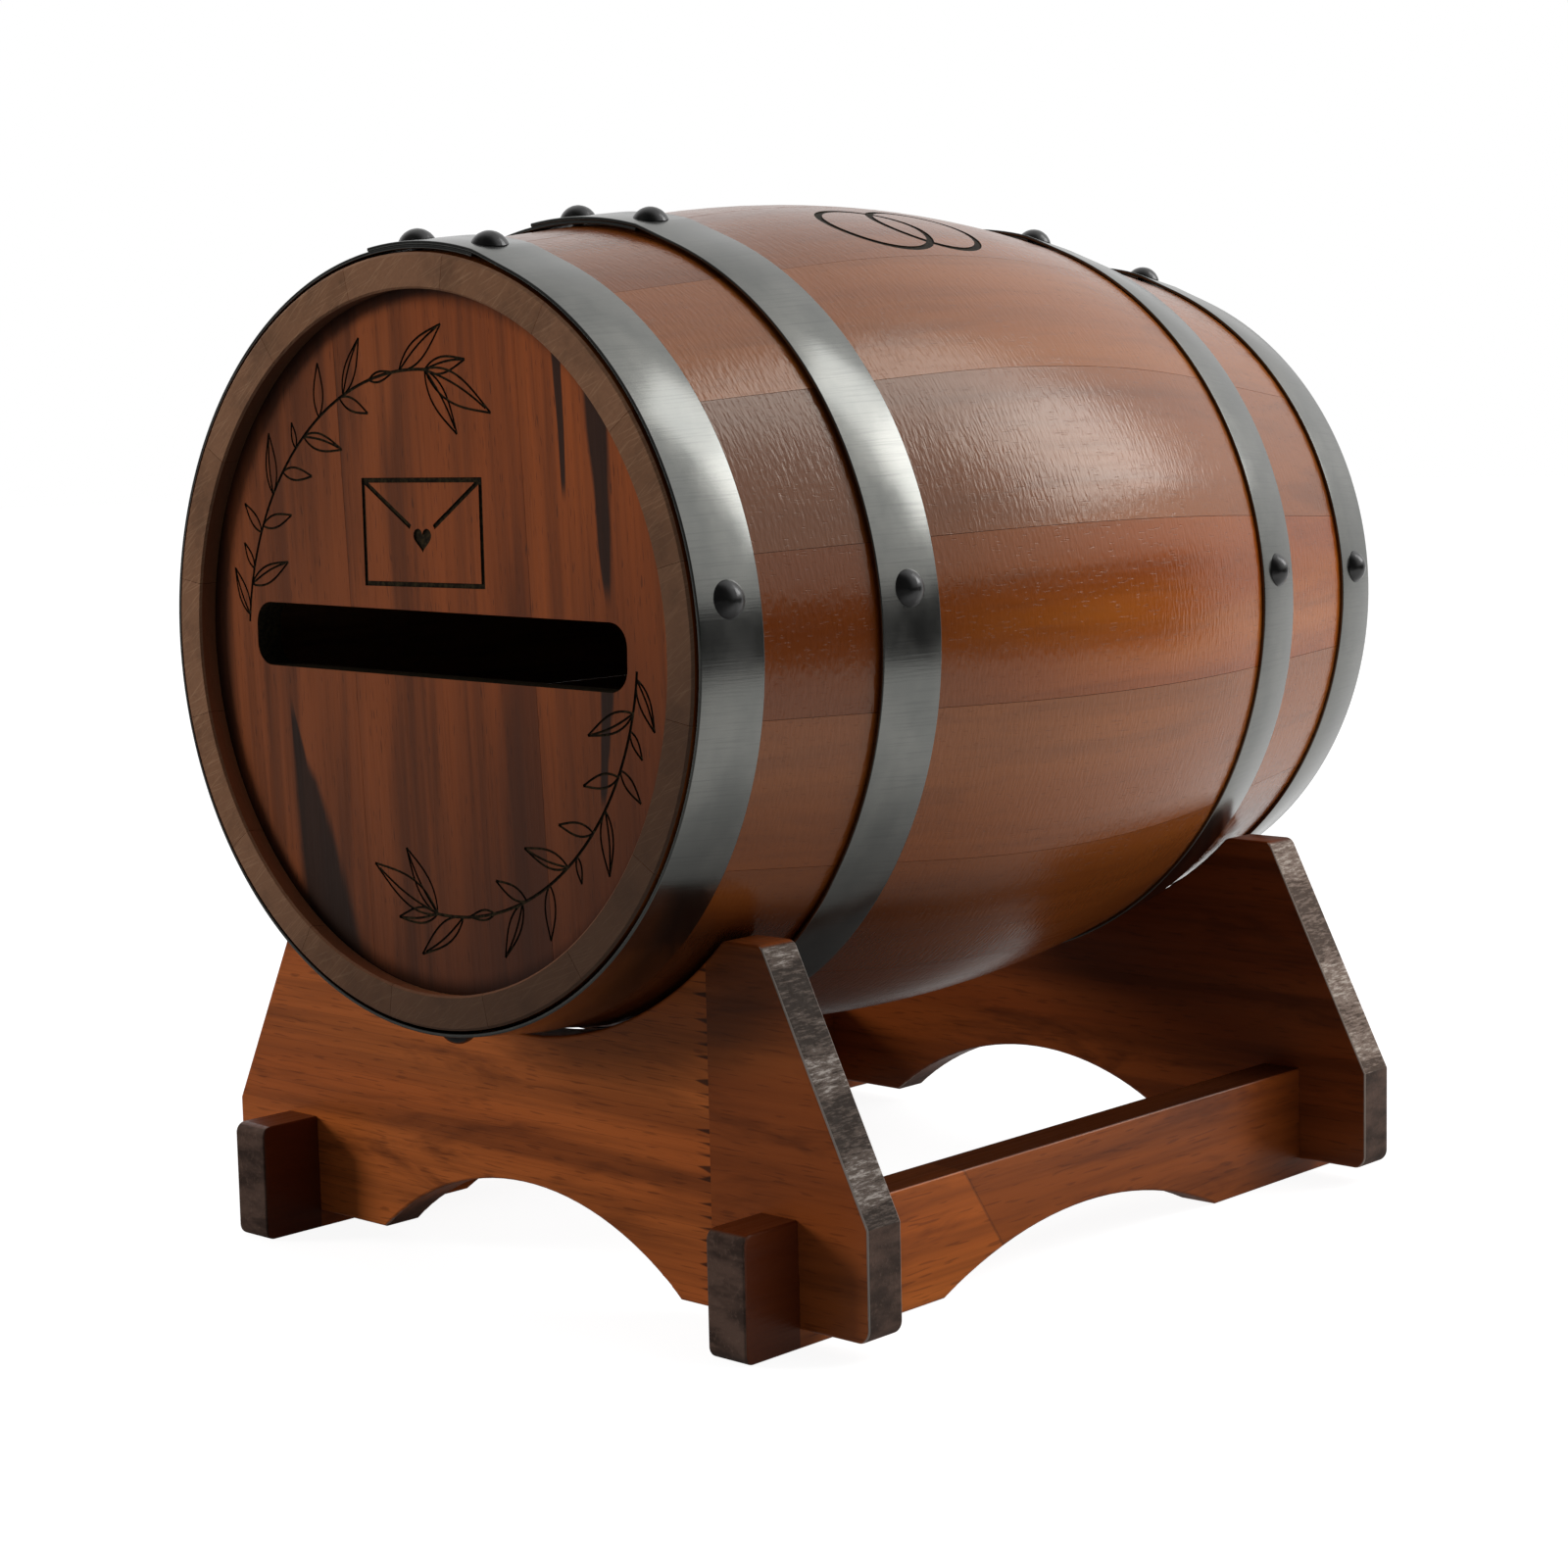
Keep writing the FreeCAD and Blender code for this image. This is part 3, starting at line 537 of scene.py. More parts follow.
def make_head_boards(wood, charred):
    """Four boards of the front head, with the slot, the sprigs and the envelope cut into them."""
    face_radius = inner_radius(HEAD_FACE) - HEAD_EDGE_GAP
    back_scale = (inner_radius(HEAD_BACK) - HEAD_EDGE_GAP) / face_radius
    disc = arc((0, 0), face_radius, 0, 2 * pi, HEAD_STEPS)[:-1]
    seams = []
    for seam in HEAD_SEAMS:
        ends = [turned((seam, reach), HEAD_TILT) for reach in (-face_radius - 1, face_radius + 1)]
        seams.append(ribbon(ends, HEAD_SEAM_GAP))
    holes = [slot_outline()] + seams
    strokes = sprig_strokes() + envelope_strokes()
    places, triangles, sources = cut_outlines([disc] + holes + strokes, [])
    hole_numbers = set(range(1, 1 + len(holes)))
    boards = {"left": [], "upper": [], "lower": [], "right": []}
    for triangle, source in zip(triangles, sources):
        if 0 not in source or source & hole_numbers:
            continue
        middle = sum((places[index] for index in triangle), Vector((0, 0))) / 3
        across, up = turned(middle, -HEAD_TILT)
        if across < HEAD_SEAMS[0]:
            side = "left"
        elif across > HEAD_SEAMS[1]:
            side = "right"
        else:
            side = "upper" if up > 0 else "lower"
        boards[side].append((triangle, max(source) > max(hole_numbers)))

    def front(place, depth):
        return Vector((place.x, HEAD_FACE + depth, AXIS_HEIGHT + place.y)) * MM

    def back(place):
        scale = back_scale if place.length > face_radius - HEAD_EDGE_BAND else 1.0
        return Vector((place.x * scale, HEAD_BACK, AXIS_HEIGHT + place.y * scale)) * MM

    for side, parts in boards.items():
        board = "head_%s_board" % side
        shapes = [shape for shape, _ in parts]
        cut = [is_cut for _, is_cut in parts]
        mesh = engraved_plate(board, places, shapes, cut, front, back, ENGRAVING_DEPTH)
        char_slot_walls(mesh)
        finish_piece("engraved_", board, mesh, [wood, charred])


def char_slot_walls(mesh):
    """Give the burnt material to the walls of the card slot."""
    for polygon in mesh.polygons:
        x, z = polygon.center.x / MM, polygon.center.z / MM - AXIS_HEIGHT
        in_slot = abs(x) < SLOT_LENGTH / 2 + SLOT_MARGIN_X and abs(z) < SLOT_HEIGHT / 2 + SLOT_MARGIN_Z
        if in_slot and abs(polygon.normal.y) < 0.5:
            polygon.material_index = 1


def make_ring_stave(wood, charred):
    """The stave on top of the barrel that carries the engraved pair of rings."""
    gap = degrees(STAVE_JOINT_GAP / BILGE_RADIUS) / 2
    start = STAVE_JOINT_ANGLE + (RING_STAVE - 1) * STAVE_ANGLE + gap
    end = start + STAVE_ANGLE - 2 * gap
    unroll = radians(1) * BILGE_RADIUS
    rows = spread(-HALF_LENGTH, HALF_LENGTH, RING_STAVE_ROWS)
    rows += [-HALF_LENGTH + RIM_CHAMFER, HALF_LENGTH - RIM_CHAMFER]
    rows.sort()
    columns = [angle * unroll for angle in spread(start, end, RING_STAVE_COLUMNS)]
    outline = [(u, -HALF_LENGTH) for u in columns]
    outline += [(columns[-1], v) for v in rows[1:]]
    outline += [(u, HALF_LENGTH) for u in columns[-2::-1]]
    outline += [(columns[0], v) for v in rows[-2:0:-1]]
    grid = [(u, v) for u in columns[1:-1] for v in rows[1:-1]]
    strokes = []
    for side in (-1, 1):
        centre = (RING_ANGLE * unroll, RING_MIDDLE + side * RING_SPREAD)
        strokes += ring_strokes(centre, RING_RADIUS, RING_LINE)
    places, triangles, sources = cut_outlines([outline] + strokes, grid)
    cut = [max(source) > 0 for source in sources]

    def ease(y):
        return max(0.0, abs(y) - (HALF_LENGTH - RIM_CHAMFER))

    def front(place, depth):
        return barrel_point(place.x / unroll, place.y, outer_radius(place.y) - ease(place.y) - depth)

    def back(place):
        return barrel_point(place.x / unroll, place.y, inner_radius(place.y) + ease(place.y))

    name = "stave_%02d" % RING_STAVE
    mesh = engraved_plate(name, places, triangles, cut, front, back, RING_DEPTH)
    smooth_barrel_normals(mesh)
    finish_piece("engraved_", name, mesh, [wood, charred])


def smooth_barrel_normals(mesh):
    """Give the outside of a stave the exact normals of the barrel, and leave the rest faceted."""
    normals = [Vector((0, 0, 0))] * len(mesh.loops)
    for polygon in mesh.polygons:
        centre = polygon.center / MM
        outward = Vector((centre.x, 0, centre.z - AXIS_HEIGHT))
        depth = outer_radius(centre.y) - outward.length
        on_outside = polygon.normal.dot(outward) > 0 and abs(depth) < ON_SURFACE
        if not on_outside or abs(centre.y) > HALF_LENGTH - RIM_CHAMFER:
            continue
        for loop in polygon.loop_indices:
            place = mesh.vertices[mesh.loops[loop].vertex_index].co / MM
            lean = outer_lean(place.y)
            around = Vector((place.x, 0, place.z - AXIS_HEIGHT)).normalized()
            normals[loop] = around * cos(lean) + Vector((0, sin(lean), 0))
    mesh.polygons.foreach_set("use_smooth", [True] * len(mesh.polygons))
    mesh.set_sharp_from_angle(angle=STAVE_SHARP_ANGLE)
    mesh.normals_split_custom_set(normals)


def hoop_inner_radius(hoop_y, y):
    """Inside of a hoop, which sits tight, but for the front hoops' lifted rim side."""
    bilge_edge = hoop_y - copysign(HOOP_WIDTH / 2, hoop_y)
    rim_edge = hoop_y + copysign(HOOP_WIDTH / 2, hoop_y)
    low = outer_radius(bilge_edge) + HOOP_SEAT_GAP
    high = outer_radius(rim_edge) + HOOP_SEAT_GAP + (FRONT_HOOP_LIFT if hoop_y < 0 else 0.0)
    return low + (high - low) * (y - bilge_edge) / (rim_edge - bilge_edge)


def make_hoop(name, steel):
    """Hoop of one strip that runs once round the barrel and laps over its own start."""
    node = name + "_hoop"
    low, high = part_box(node)
    hoop_y = (low.y + high.y) / 2 / MM
    single = hoop_inner_radius(hoop_y, hoop_y) + HOOP_THICKNESS
    ramp = degrees(acos(single / (single + HOOP_THICKNESS)))
    start = LAP_CENTRE - degrees((LAP_HALF_PAIR + LAP_HEAD) / single) - ramp
    end = LAP_CENTRE + degrees((LAP_HALF_PAIR + LAP_END_MARGIN) / single)
    first = start + ramp - 360
    count = ceil((end - first) / HOOP_STEP)
    section = rounded_outline(HOOP_WIDTH / 2 - HOOP_EDGE_RADIUS, HOOP_THICKNESS - HOOP_EDGE_RADIUS,
                              HOOP_EDGE_RADIUS, HOOP_EDGE_RADIUS, HOOP_EDGE_STEPS)

    def lap_lift(angle):
        if angle <= start:
            return 0.0
        lifted = single / cos(radians(angle - start)) - single
        return min(lifted, HOOP_THICKNESS)

    vertices, faces = [], []
    for angle in spread(first, end, count):
        for across, up in section:
            y = hoop_y + across
            vertices.append(barrel_point(angle, y, hoop_inner_radius(hoop_y, y) + up + lap_lift(angle)))
    size = len(section)
    for step in range(count):
        for place in range(size):
            after = (place + 1) % size
            near, far = step * size, (step + 1) * size
            faces.append([near + place, near + after, far + after, far + place])
    faces.append(list(range(size - 1, -1, -1)))
    faces.append([count * size + place for place in range(size)])
    mesh = new_mesh(node, vertices, faces)
    mesh.polygons.foreach_set("use_smooth", [True] * len(faces))
    mesh.update()
    mesh.set_sharp_from_angle(angle=HOOP_SHARP_ANGLE)
    finish_piece("strip_", node, mesh, [steel])


# Materials

class Shader:
    """Adds nodes to a node tree; an input takes a plain value or another node's output."""

    def __init__(self, tree):
        self.tree = tree

    def add(self, kind, inputs, output=0, **settings):
        node = self.tree.nodes.new("ShaderNode" + kind)
        for key, value in settings.items():
            setattr(node, key, value)
        for key, value in inputs.items():
            if isinstance(value, bpy.types.NodeSocket):
                self.tree.links.new(value, node.inputs[key])
            else:
                node.inputs[key].default_value = value
        return node.outputs[output] if node.outputs else None

    def math(self, operation, first, second=0.0):
        return self.add("Math", {0: first, 1: second}, operation=operation)

    def times(self, first, second):
        return self.math("MULTIPLY", first, second)

    def plus(self, first, second):
        return self.math("ADD", first, second)

    def stepped(self, vector, step, count):
        return self.add("VectorMath", {0: step, 1: count, 2: vector}, operation="MULTIPLY_ADD")

    def dot(self, first, second):
        return self.add("VectorMath", {0: first, 1: second}, "Value", operation="DOT_PRODUCT")

    def ramp(self, value, low, high, start=0.0, end=1.0, shape="LINEAR"):
        """Change from start, where the value is low, to end, where it is high."""
        ends = {"Value": value, "From Min": low, "From Max": high, "To Min": start, "To Max": end}
        return self.add("MapRange", ends, interpolation_type=shape)

    def fade(self, value, low, high, start, end):
        """Ramp with soft ends."""
        return self.ramp(value, low, high, start, end, "SMOOTHSTEP")

    def mask(self, value, low, high, peak=1.0):
        """Soft ramp from nothing to a peak."""
        return self.fade(value, low, high, 0.0, peak)

    def mix(self, share, first, second):
        return self.add("Mix", {0: share, 6: first, 7: second}, 2, data_type="RGBA")

    def place(self, vector, scale=(1, 1, 1), shift=(0, 0, 0), turn=(0, 0, 0)):
        return self.add("Mapping", {"Vector": vector, "Location": shift, "Rotation": turn, "Scale": scale})

    def noise(self, vector, kind):
        inputs = {"Vector": self.place(vector, kind.scale, turn=kind.turn), "Scale": 1.0,
                  "Detail": kind.detail, "Roughness": kind.roughness, "Distortion": kind.distortion}
        return self.add("TexNoise", inputs)

    def parts(self, vector):
        return tuple(self.add("SeparateXYZ", {0: vector}).node.outputs)

    def coordinates(self, kind):
        return self.add("TexCoord", {}, kind)

    def bump(self, height, distance, strength):
        return self.add("Bump", {"Height": height, "Distance": distance, "Strength": strength})

    def surface(self, colour, roughness, others):
        inputs = {"Base Color": colour, "Roughness": roughness, **others}
        self.add("OutputMaterial", {"Surface": self.add("BsdfPrincipled", inputs)})


def new_material(name):
    """Empty node material, the helper that fills it, and the object coordinates in it."""
    material = bpy.data.materials.new(name)
    material.use_nodes = True
    material.node_tree.nodes.clear()
    shader = Shader(material.node_tree)
    return material, shader, shader.coordinates("Object")


Marks = namedtuple("Marks", "broad bands fibres pores")


def grain_marks(shader, grain, pores=PORES, pore_start=0.7):
    """Masks of the figure of a board whose grain runs along its own Y."""
    broad = shader.mask(shader.noise(grain, BROAD_FIGURE), 0.3, 0.7)
    bands = shader.mask(shader.noise(grain, DARK_BANDS), 0.42, 0.75)
    specks = shader.mask(shader.noise(grain, pores), pore_start, pore_start + 0.1)
    return Marks(broad, bands, shader.noise(grain, FIBRES), specks)


def stain(shader, marks, tones, figure, fleck):
    """Colour of a board with these marks, given the strength of its dark bands and of its flecks."""
    colour = shader.mix(marks.broad, tones.mid, tones.light)
    colour = shader.mix(shader.times(marks.bands, figure), colour, tones.dark)
    flecks = shader.math("MAXIMUM", shader.mask(marks.fibres, 0.5, 0.85, fleck * 0.6),
                         shader.times(marks.pores, fleck))
    return shader.mix(flecks, colour, tones.dark)


def fibre_gloss(shader, marks, smooth, rough):
    """Roughness that changes a little with the fibres."""
    return shader.fade(marks.fibres, 0.3, 0.8, smooth, rough)


def sawn_grain(shader, place, tones):
    """Colour of sawn end grain: short pale strokes across the board, thicker in bands."""
    pale = shader.fade(shader.noise(place, SAW_BANDS), 0.38, 0.62, -0.08, 0.1)
    mottle = shader.plus(shader.noise(place, SAW_STROKES), pale)
    colour = shader.mix(shader.mask(mottle, 0.4, 0.55), tones.dark, tones.mid)
    return shader.mix(shader.mask(mottle, 0.56, 0.74), colour, tones.light)


def centred(shader, place, turn=0.0):
    """Coordinates from the barrel's axis, turned about it."""
    middle = shader.place(place, shift=(0, 0, -AXIS_HEIGHT * MM))
    return shader.place(middle, turn=(0, turn, 0))


def painted_low_shade(shader, place):
    """Share of the painted shade on the lower right of the barrel's front."""
    towards, _, _ = shader.parts(centred(shader, place, LOW_PAINTED_SHADE_TURN))
    return shader.mask(towards, *LOW_PAINTED_SHADE_REACH, 0.8)


def rim_colour(shader, place, marks, tones):
    """Matt end grain of the rim, with sparse fine scratches, blotches and painted shade on the lower right.
    """
    colour = shader.mix(marks.fibres, tones.mid, tones.light)
    for turn in RIM_SCRATCH_TURNS:
        lines = shader.noise(shader.place(place, turn=(0, turn, 0)), SCRATCH_LINES)
        colour = shader.mix(shader.mask(lines, 0.6, 0.7, RIM_SCRATCH_SHARE), colour, RIM_SCRATCH)
    blotches = shader.mask(shader.noise(place, RIM_BLOTCHES), 0.45, 0.72, 0.35)
    colour = shader.mix(blotches, colour, tones.dark)
    # Painted shade on the lower right of the rim
    return shader.mix(painted_low_shade(shader, place), colour, tones.dark)


def stave_material(number):
    """Varnished stave: grain along the barrel, a darker front, painted shade on the underside, the chime and
    the rim's lower right, a matt rim and a bare inside.
    """
    material, shader, place = new_material("stave_%02d_varnish" % number)
    tones = AMBER if number == AMBER_STAVE else STAVE_TONES[number % len(STAVE_TONES)]
    front_share = DARK_FRONT_STAIN if number in DARK_FRONT_STAVES else FRONT_STAIN
    normal = shader.coordinates("Normal")
    middle = radians(STAVE_JOINT_ANGLE + (number - 0.5) * STAVE_ANGLE)
    shift = (STAVE_GRAIN_SHIFT[0] * number, STAVE_GRAIN_SHIFT[1] * number, 0.0)
    grain = shader.place(place, shift=shift, turn=(0, middle, 0))
    marks = grain_marks(shader, grain)
    _, y, _ = shader.parts(place)
    _, _, rise = shader.parts(centred(shader, place))

    colour = stain(shader, marks, tones, figure=0.35, fleck=0.3)
    colour = shader.mix(shader.mask(y, *FRONT_STAIN_REACH, front_share), colour, tones.dark)
    # Painted shade on the underside of the barrel, stronger towards the front
    underside = shader.times(shader.mask(rise, *UNDERSIDE_SHADE_REACH, 0.8),
                             shader.fade(y, *UNDERSIDE_SHADE_FRONT_REACH, 0.45, 1.0))
    colour = shader.mix(underside, colour, UNDERSIDE_SHADE_TONE)

    radial = shader.place(place, (1, 0, 1), shift=(0, 0, -AXIS_HEIGHT * MM))
    inside = shader.mask(shader.dot(radial, normal), *INSIDE_REACH)
    # Painted shade on the chime wall in front of the head: darker at the top, lighter at the foot
    chime = shader.mix(shader.mask(rise, *CHIME_SHADE_REACH), CHIME_SHADED_TOP, CHIME_LIT_FOOT)
    colour = shader.mix(inside, colour, chime)
    bare = shader.times(inside, shader.math("GREATER_THAN", y, HEAD_FACE * MM))
    colour = shader.mix(bare, colour, shader.mix(marks.bands, INNER_TONES.mid, INNER_TONES.dark))

    _, facing, _ = shader.parts(normal)
    end_mask = shader.mask(shader.math("ABSOLUTE", facing), 0.45, 0.75)
    rim = rim_colour(shader, place, marks, RIM_TONES[number % len(RIM_TONES)])
    colour = shader.mix(end_mask, colour, rim)

    height = shader.plus(shader.noise(grain, LATHE_RIPPLE), shader.times(marks.pores, -0.2))
    bump = shader.bump(height, distance=0.00013, strength=0.75)
    matt = shader.math("MAXIMUM", end_mask, inside)
    roughness = shader.plus(fibre_gloss(shader, marks, 0.16, 0.24), shader.times(matt, 0.48))
    shader.surface(colour, roughness, {"Normal": bump, "IOR": 1.46, "Specular Tint": VARNISH_TINT})
    return material


def head_material():
    """Satin head boards: upright grain in soft bands, a few black streaks, and painted shade on the lower
    right and round the edge under the rim.
    """
    material, shader, place = new_material("head_satin")
    upright = shader.place(place, turn=(pi / 2, 0, 0))
    leaning = shader.place(upright, turn=(0, 0, HEAD_TILT))
    x, _, z = shader.parts(centred(shader, place, HEAD_TILT))
    board = shader.plus(shader.math("GREATER_THAN", x, HEAD_SEAMS[0] * MM),
                        shader.math("GREATER_THAN", x, HEAD_SEAMS[1] * MM))
    grain = shader.stepped(leaning, HEAD_GRAIN_STEP, board)
    marks = grain_marks(shader, grain)
    warmer = shader.mask(x, *HEAD_WARM_REACH)
    tones = Tones(*[shader.mix(warmer, left, right) for left, right in zip(HEAD_TONES, HEAD_RIGHT_TONES)])
    colour = stain(shader, marks, tones, figure=0.55, fleck=0.55)
    clouds = shader.mask(shader.noise(grain, HEAD_CLOUDS), 0.46, 0.62, 0.6)
    colour = shader.mix(clouds, colour, tones.dark)
    # Painted shade on the lower right of the head
    colour = shader.mix(painted_low_shade(shader, place), colour, HEAD_TONES.dark)
    colour = shader.mix(black_streaks(shader, place, grain), colour, STREAK_TONE)
    # Painted shade round the edge of the head, in the recess under the rim
    radius = shader.math("SQRT", shader.plus(shader.times(x, x), shader.times(z, z)))
    edge = inner_radius(HEAD_FACE) * MM
    corner = shader.mask(radius, edge - CORNER_SHADE_WIDTH * MM, edge, 0.85)
    colour = shader.mix(corner, colour, CORNER_SHADE_TONE)
    bump = shader.bump(marks.fibres, distance=0.0002, strength=0.25)
    gloss = fibre_gloss(shader, marks, 0.42, 0.55)
    shader.surface(colour, gloss, {"Normal": bump, "Specular IOR Level": 0.25})
    return material


def black_streaks(shader, place, grain):
    """Mask of the head's black mineral streaks, each a long soft wedge."""
    x, _, z = shader.parts(place)
    wobble = shader.math("SUBTRACT", shader.noise(grain, STREAK_WOBBLE), 0.5)
    shaken = shader.plus(x, shader.times(wobble, STREAK_SHAKE))
    mask = 0.0
    for streak in HEAD_STREAKS:
        low, high = ((AXIS_HEIGHT + level) * MM for level in (streak.bottom, streak.top))
        share = shader.ramp(z, low, high)
        middle = shader.ramp(share, 0.0, 1.0, streak.low_x * MM, streak.high_x * MM)
        half = shader.ramp(share, 0.0, 1.0, streak.low_half * MM, streak.high_half * MM)
        off_middle = shader.math("ABSOLUTE", shader.math("SUBTRACT", shaken, middle))
        body = shader.mask(shader.math("DIVIDE", off_middle, half), 1.2, 0.7, 0.92)
        ends = shader.times(shader.mask(share, 0.0, 0.12), shader.mask(share, 1.0, 0.88))
        mask = shader.math("MAXIMUM", mask, shader.times(body, ends))
    return mask


def mottled_material(name, kind, shades, low, roughness, depth, strength, specular=0.5):
    """Two shades mixed by a noise that also roughens the surface."""
    material, shader, place = new_material(name)
    mottle = shader.noise(place, kind)
    colour = shader.mix(shader.mask(mottle, low, low + 0.4), shades.dark, shades.light)
    bump = shader.bump(mottle, depth, strength)
    shader.surface(colour, roughness, {"Normal": bump, "Specular IOR Level": specular})
    return material


def steel_material():
    """Dark hoop steel with a fine finish of lines across the strip."""
    material, shader, place = new_material("brushed_steel")
    x, y, z = shader.parts(centred(shader, place))
    around = shader.times(shader.math("ARCTAN2", z, x), BILGE_RADIUS * MM)
    lines = shader.noise(shader.add("CombineXYZ", {0: around, 1: y}), STEEL_LINES)
    smudge = shader.noise(place, STEEL_SMUDGES)
    colour = shader.mix(shader.mask(smudge, 0.3, 0.75), STEEL_TONES.mid, STEEL_TONES.light)
    colour = shader.mix(shader.mask(lines, 0.45, 0.75, 0.3), colour, STEEL_TONES.dark)
    bump = shader.bump(lines, distance=0.00003, strength=0.35)
    gloss = shader.fade(smudge, 0.3, 0.7, 0.17, 0.24)
    shader.surface(colour, gloss, {"Normal": bump, "Metallic": 1.0})
    return material


def painted_rail_shade(shader, colour, tones, y, rise):
    """Painted shade on the rail: near both cradles, on the stub before the front one, and a painted shadow
    of the barrel on top behind it.
    """
    cradle_low, cradle_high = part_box("front_cradle")
    # Painted shade near both cradles
    near_cradle = shader.mask(shader.math("ABSOLUTE", y), *CRADLE_SHADE_REACH, 0.5)
    colour = shader.mix(near_cradle, colour, tones.dark)
    # Painted shade on the stub in front of the front cradle
    stub = shader.times(shader.math("LESS_THAN", y, cradle_low.y), 0.9)
    colour = shader.mix(stub, colour, RAIL_STUB_SHADE_TONE)
    # Painted shadow of the barrel on the rail's top
    top = shader.times(shader.mask(rise, 0.6, 0.9, 0.85), shader.math("GREATER_THAN", y, cradle_high.y))
    return shader.mix(top, colour, RAIL_TOP_SHADOW_TONE)


def painted_edge_highlight(shader, nx, ny):
    """Mask of the painted highlight on the rounded edges along a sawn slope that faces +X."""
    facing = shader.math("ABSOLUTE", ny)
    edge = shader.times(shader.mask(facing, 0.2, 0.5), shader.mask(facing, 0.93, 0.8))
    return shader.times(edge, shader.mask(nx, 0.25, 0.4, 0.7))


def stand_material(name, tones, along_x, joint=None, sawn=None):
    """Varnished stand board: grain along X or Y, dark cut ends, sawn end grain with painted edge highlights
    on its slopes, and painted shade on the rails.
    """
    material, shader, place = new_material(name)
    turn = (0, 0, pi / 2) if along_x else (0, 0, 0)
    grain = shader.place(place, turn=turn, shift=(0.0, 0.0, 0.4 if along_x else 0.9))
    side = joint(shader, place) if joint else None
    if side:
        grain = shader.stepped(grain, JOINT_GRAIN_STEP, side.beyond)
    marks = grain_marks(shader, grain, STAND_PORES, 0.66)
    colour = stain(shader, marks, tones, figure=0.6, fleck=0.4)
    clouds = shader.mask(shader.noise(grain, STAND_CLOUDS), 0.5, 0.72, 0.6)
    colour = shader.mix(clouds, colour, tones.dark)
    if side:
        colour = shader.mix(shader.times(side.beyond, side.darker), colour, tones.dark)
        colour = shader.mix(side.line, colour, GLUE_TONE)
    _, y, _ = shader.parts(place)
    nx, ny, nz = shader.parts(shader.coordinates("Normal"))
    if not along_x:
        # Painted shade and shadow on the rails
        colour = painted_rail_shade(shader, colour, tones, y, nz)

    end_mask = shader.mask(shader.math("ABSOLUTE", nx if along_x else ny), 0.4, 0.7)
    cut_bands = shader.noise(place, CUT_BANDS)
    cut_colour = shader.mix(shader.mask(cut_bands, 0.35, 0.65), CUT_TONES.mid, CUT_TONES.dark)
    cut_colour = shader.mix(shader.mask(marks.fibres, 0.5, 0.8, 0.4), cut_colour, CUT_TONES.light)
    if sawn:
        cut_colour = shader.mix(shader.mask(nz, 0.15, 0.3), cut_colour, sawn_grain(shader, place, sawn))
    colour = shader.mix(end_mask, colour, cut_colour)
    # Painted highlight on the rounded edges of the sawn slopes
    if sawn:
        colour = shader.mix(painted_edge_highlight(shader, nx, ny), colour, sawn.light)

    height = shader.plus(shader.times(marks.fibres, 0.2), shader.times(cut_bands, end_mask))
    bump = shader.bump(height, distance=0.0006, strength=0.6)
    roughness = shader.plus(fibre_gloss(shader, marks, 0.3, 0.42), shader.times(end_mask, 0.35))
    shader.surface(colour, roughness, {"Normal": bump, "Specular IOR Level": 0.28,
                                       "Specular Tint": VARNISH_TINT})
    return material


def finger_joint(shader, place):
    """Glued finger joint across a cradle: what lies beyond it, and its dark wedge-shaped tips."""
    x, _, z = shader.parts(place)
    share = shader.ramp(x, (FINGER_BASE - FINGER_LENGTH) * MM, FINGER_BASE * MM)
    uneven = shader.noise(place, UNEVEN_FINGERS)
    off_middle = shader.math("PINGPONG", z, FINGER_PITCH / 2 * MM)
    width = shader.times(share, shader.mask(uneven, 0.35, 0.7, FINGER_PITCH * FINGER_FILL * MM))
    wedge = shader.mask(shader.math("SUBTRACT", width, off_middle), *FINGER_EDGE, 0.85)
    before = shader.math("LESS_THAN", x, FINGER_BASE * MM)
    beyond = shader.math("GREATER_THAN", x, FINGER_BASE * MM)
    return Joint(beyond, shader.times(wedge, before), FINGER_DARKER)


def scarf_joint(shader, place):
    """Slanted glue joint across a rail."""
    _, y, z = shader.parts(place)
    slant = shader.times(shader.math("SUBTRACT", z, SCARF_HEIGHT * MM), SCARF_LEAN)
    across = shader.plus(shader.math("SUBTRACT", y, SCARF_PLACE * MM), slant)
    line = shader.mask(shader.math("ABSOLUTE", across), *SCARF_EDGE, 0.35)
    return Joint(shader.math("GREATER_THAN", across, 0.0), line, SCARF_DARKER)


def plain_wood_material(name, tones, upright):
    """Unvarnished or satin inner wood, with upright or level grain."""
    material, shader, place = new_material(name)
    grain = shader.place(place, turn=(pi / 2, 0, 0) if upright else (0, 0, pi / 2))
    marks = grain_marks(shader, grain)
    bump = shader.bump(marks.fibres, distance=0.0002, strength=0.3)
    colour = stain(shader, marks, tones, figure=0.6, fleck=0.4)
    gloss = fibre_gloss(shader, marks, 0.5, 0.65)
    shader.surface(colour, gloss, {"Normal": bump, "Specular IOR Level": 0.25})
    return material


def metal_material(name, shades, roughness):
    """Plain metal with faint smudges and fine wear."""
    material, shader, place = new_material(name)
    smudge = shader.noise(place, METAL_SMUDGES)
    colour = shader.mix(shader.mask(smudge, 0.35, 0.7), shades.light, shades.dark)
    bump = shader.bump(shader.noise(place, METAL_WEAR), distance=0.00003, strength=0.3)
    gloss = shader.fade(smudge, 0.3, 0.7, roughness, roughness + 0.12)
    shader.surface(colour, gloss, {"Normal": bump, "Metallic": 1.0})
    return material


def paint(material, *names):
    """Give CAD nodes a material."""
    for name in names:
        nodes[name].material_slots[0].material = material


# Pieces

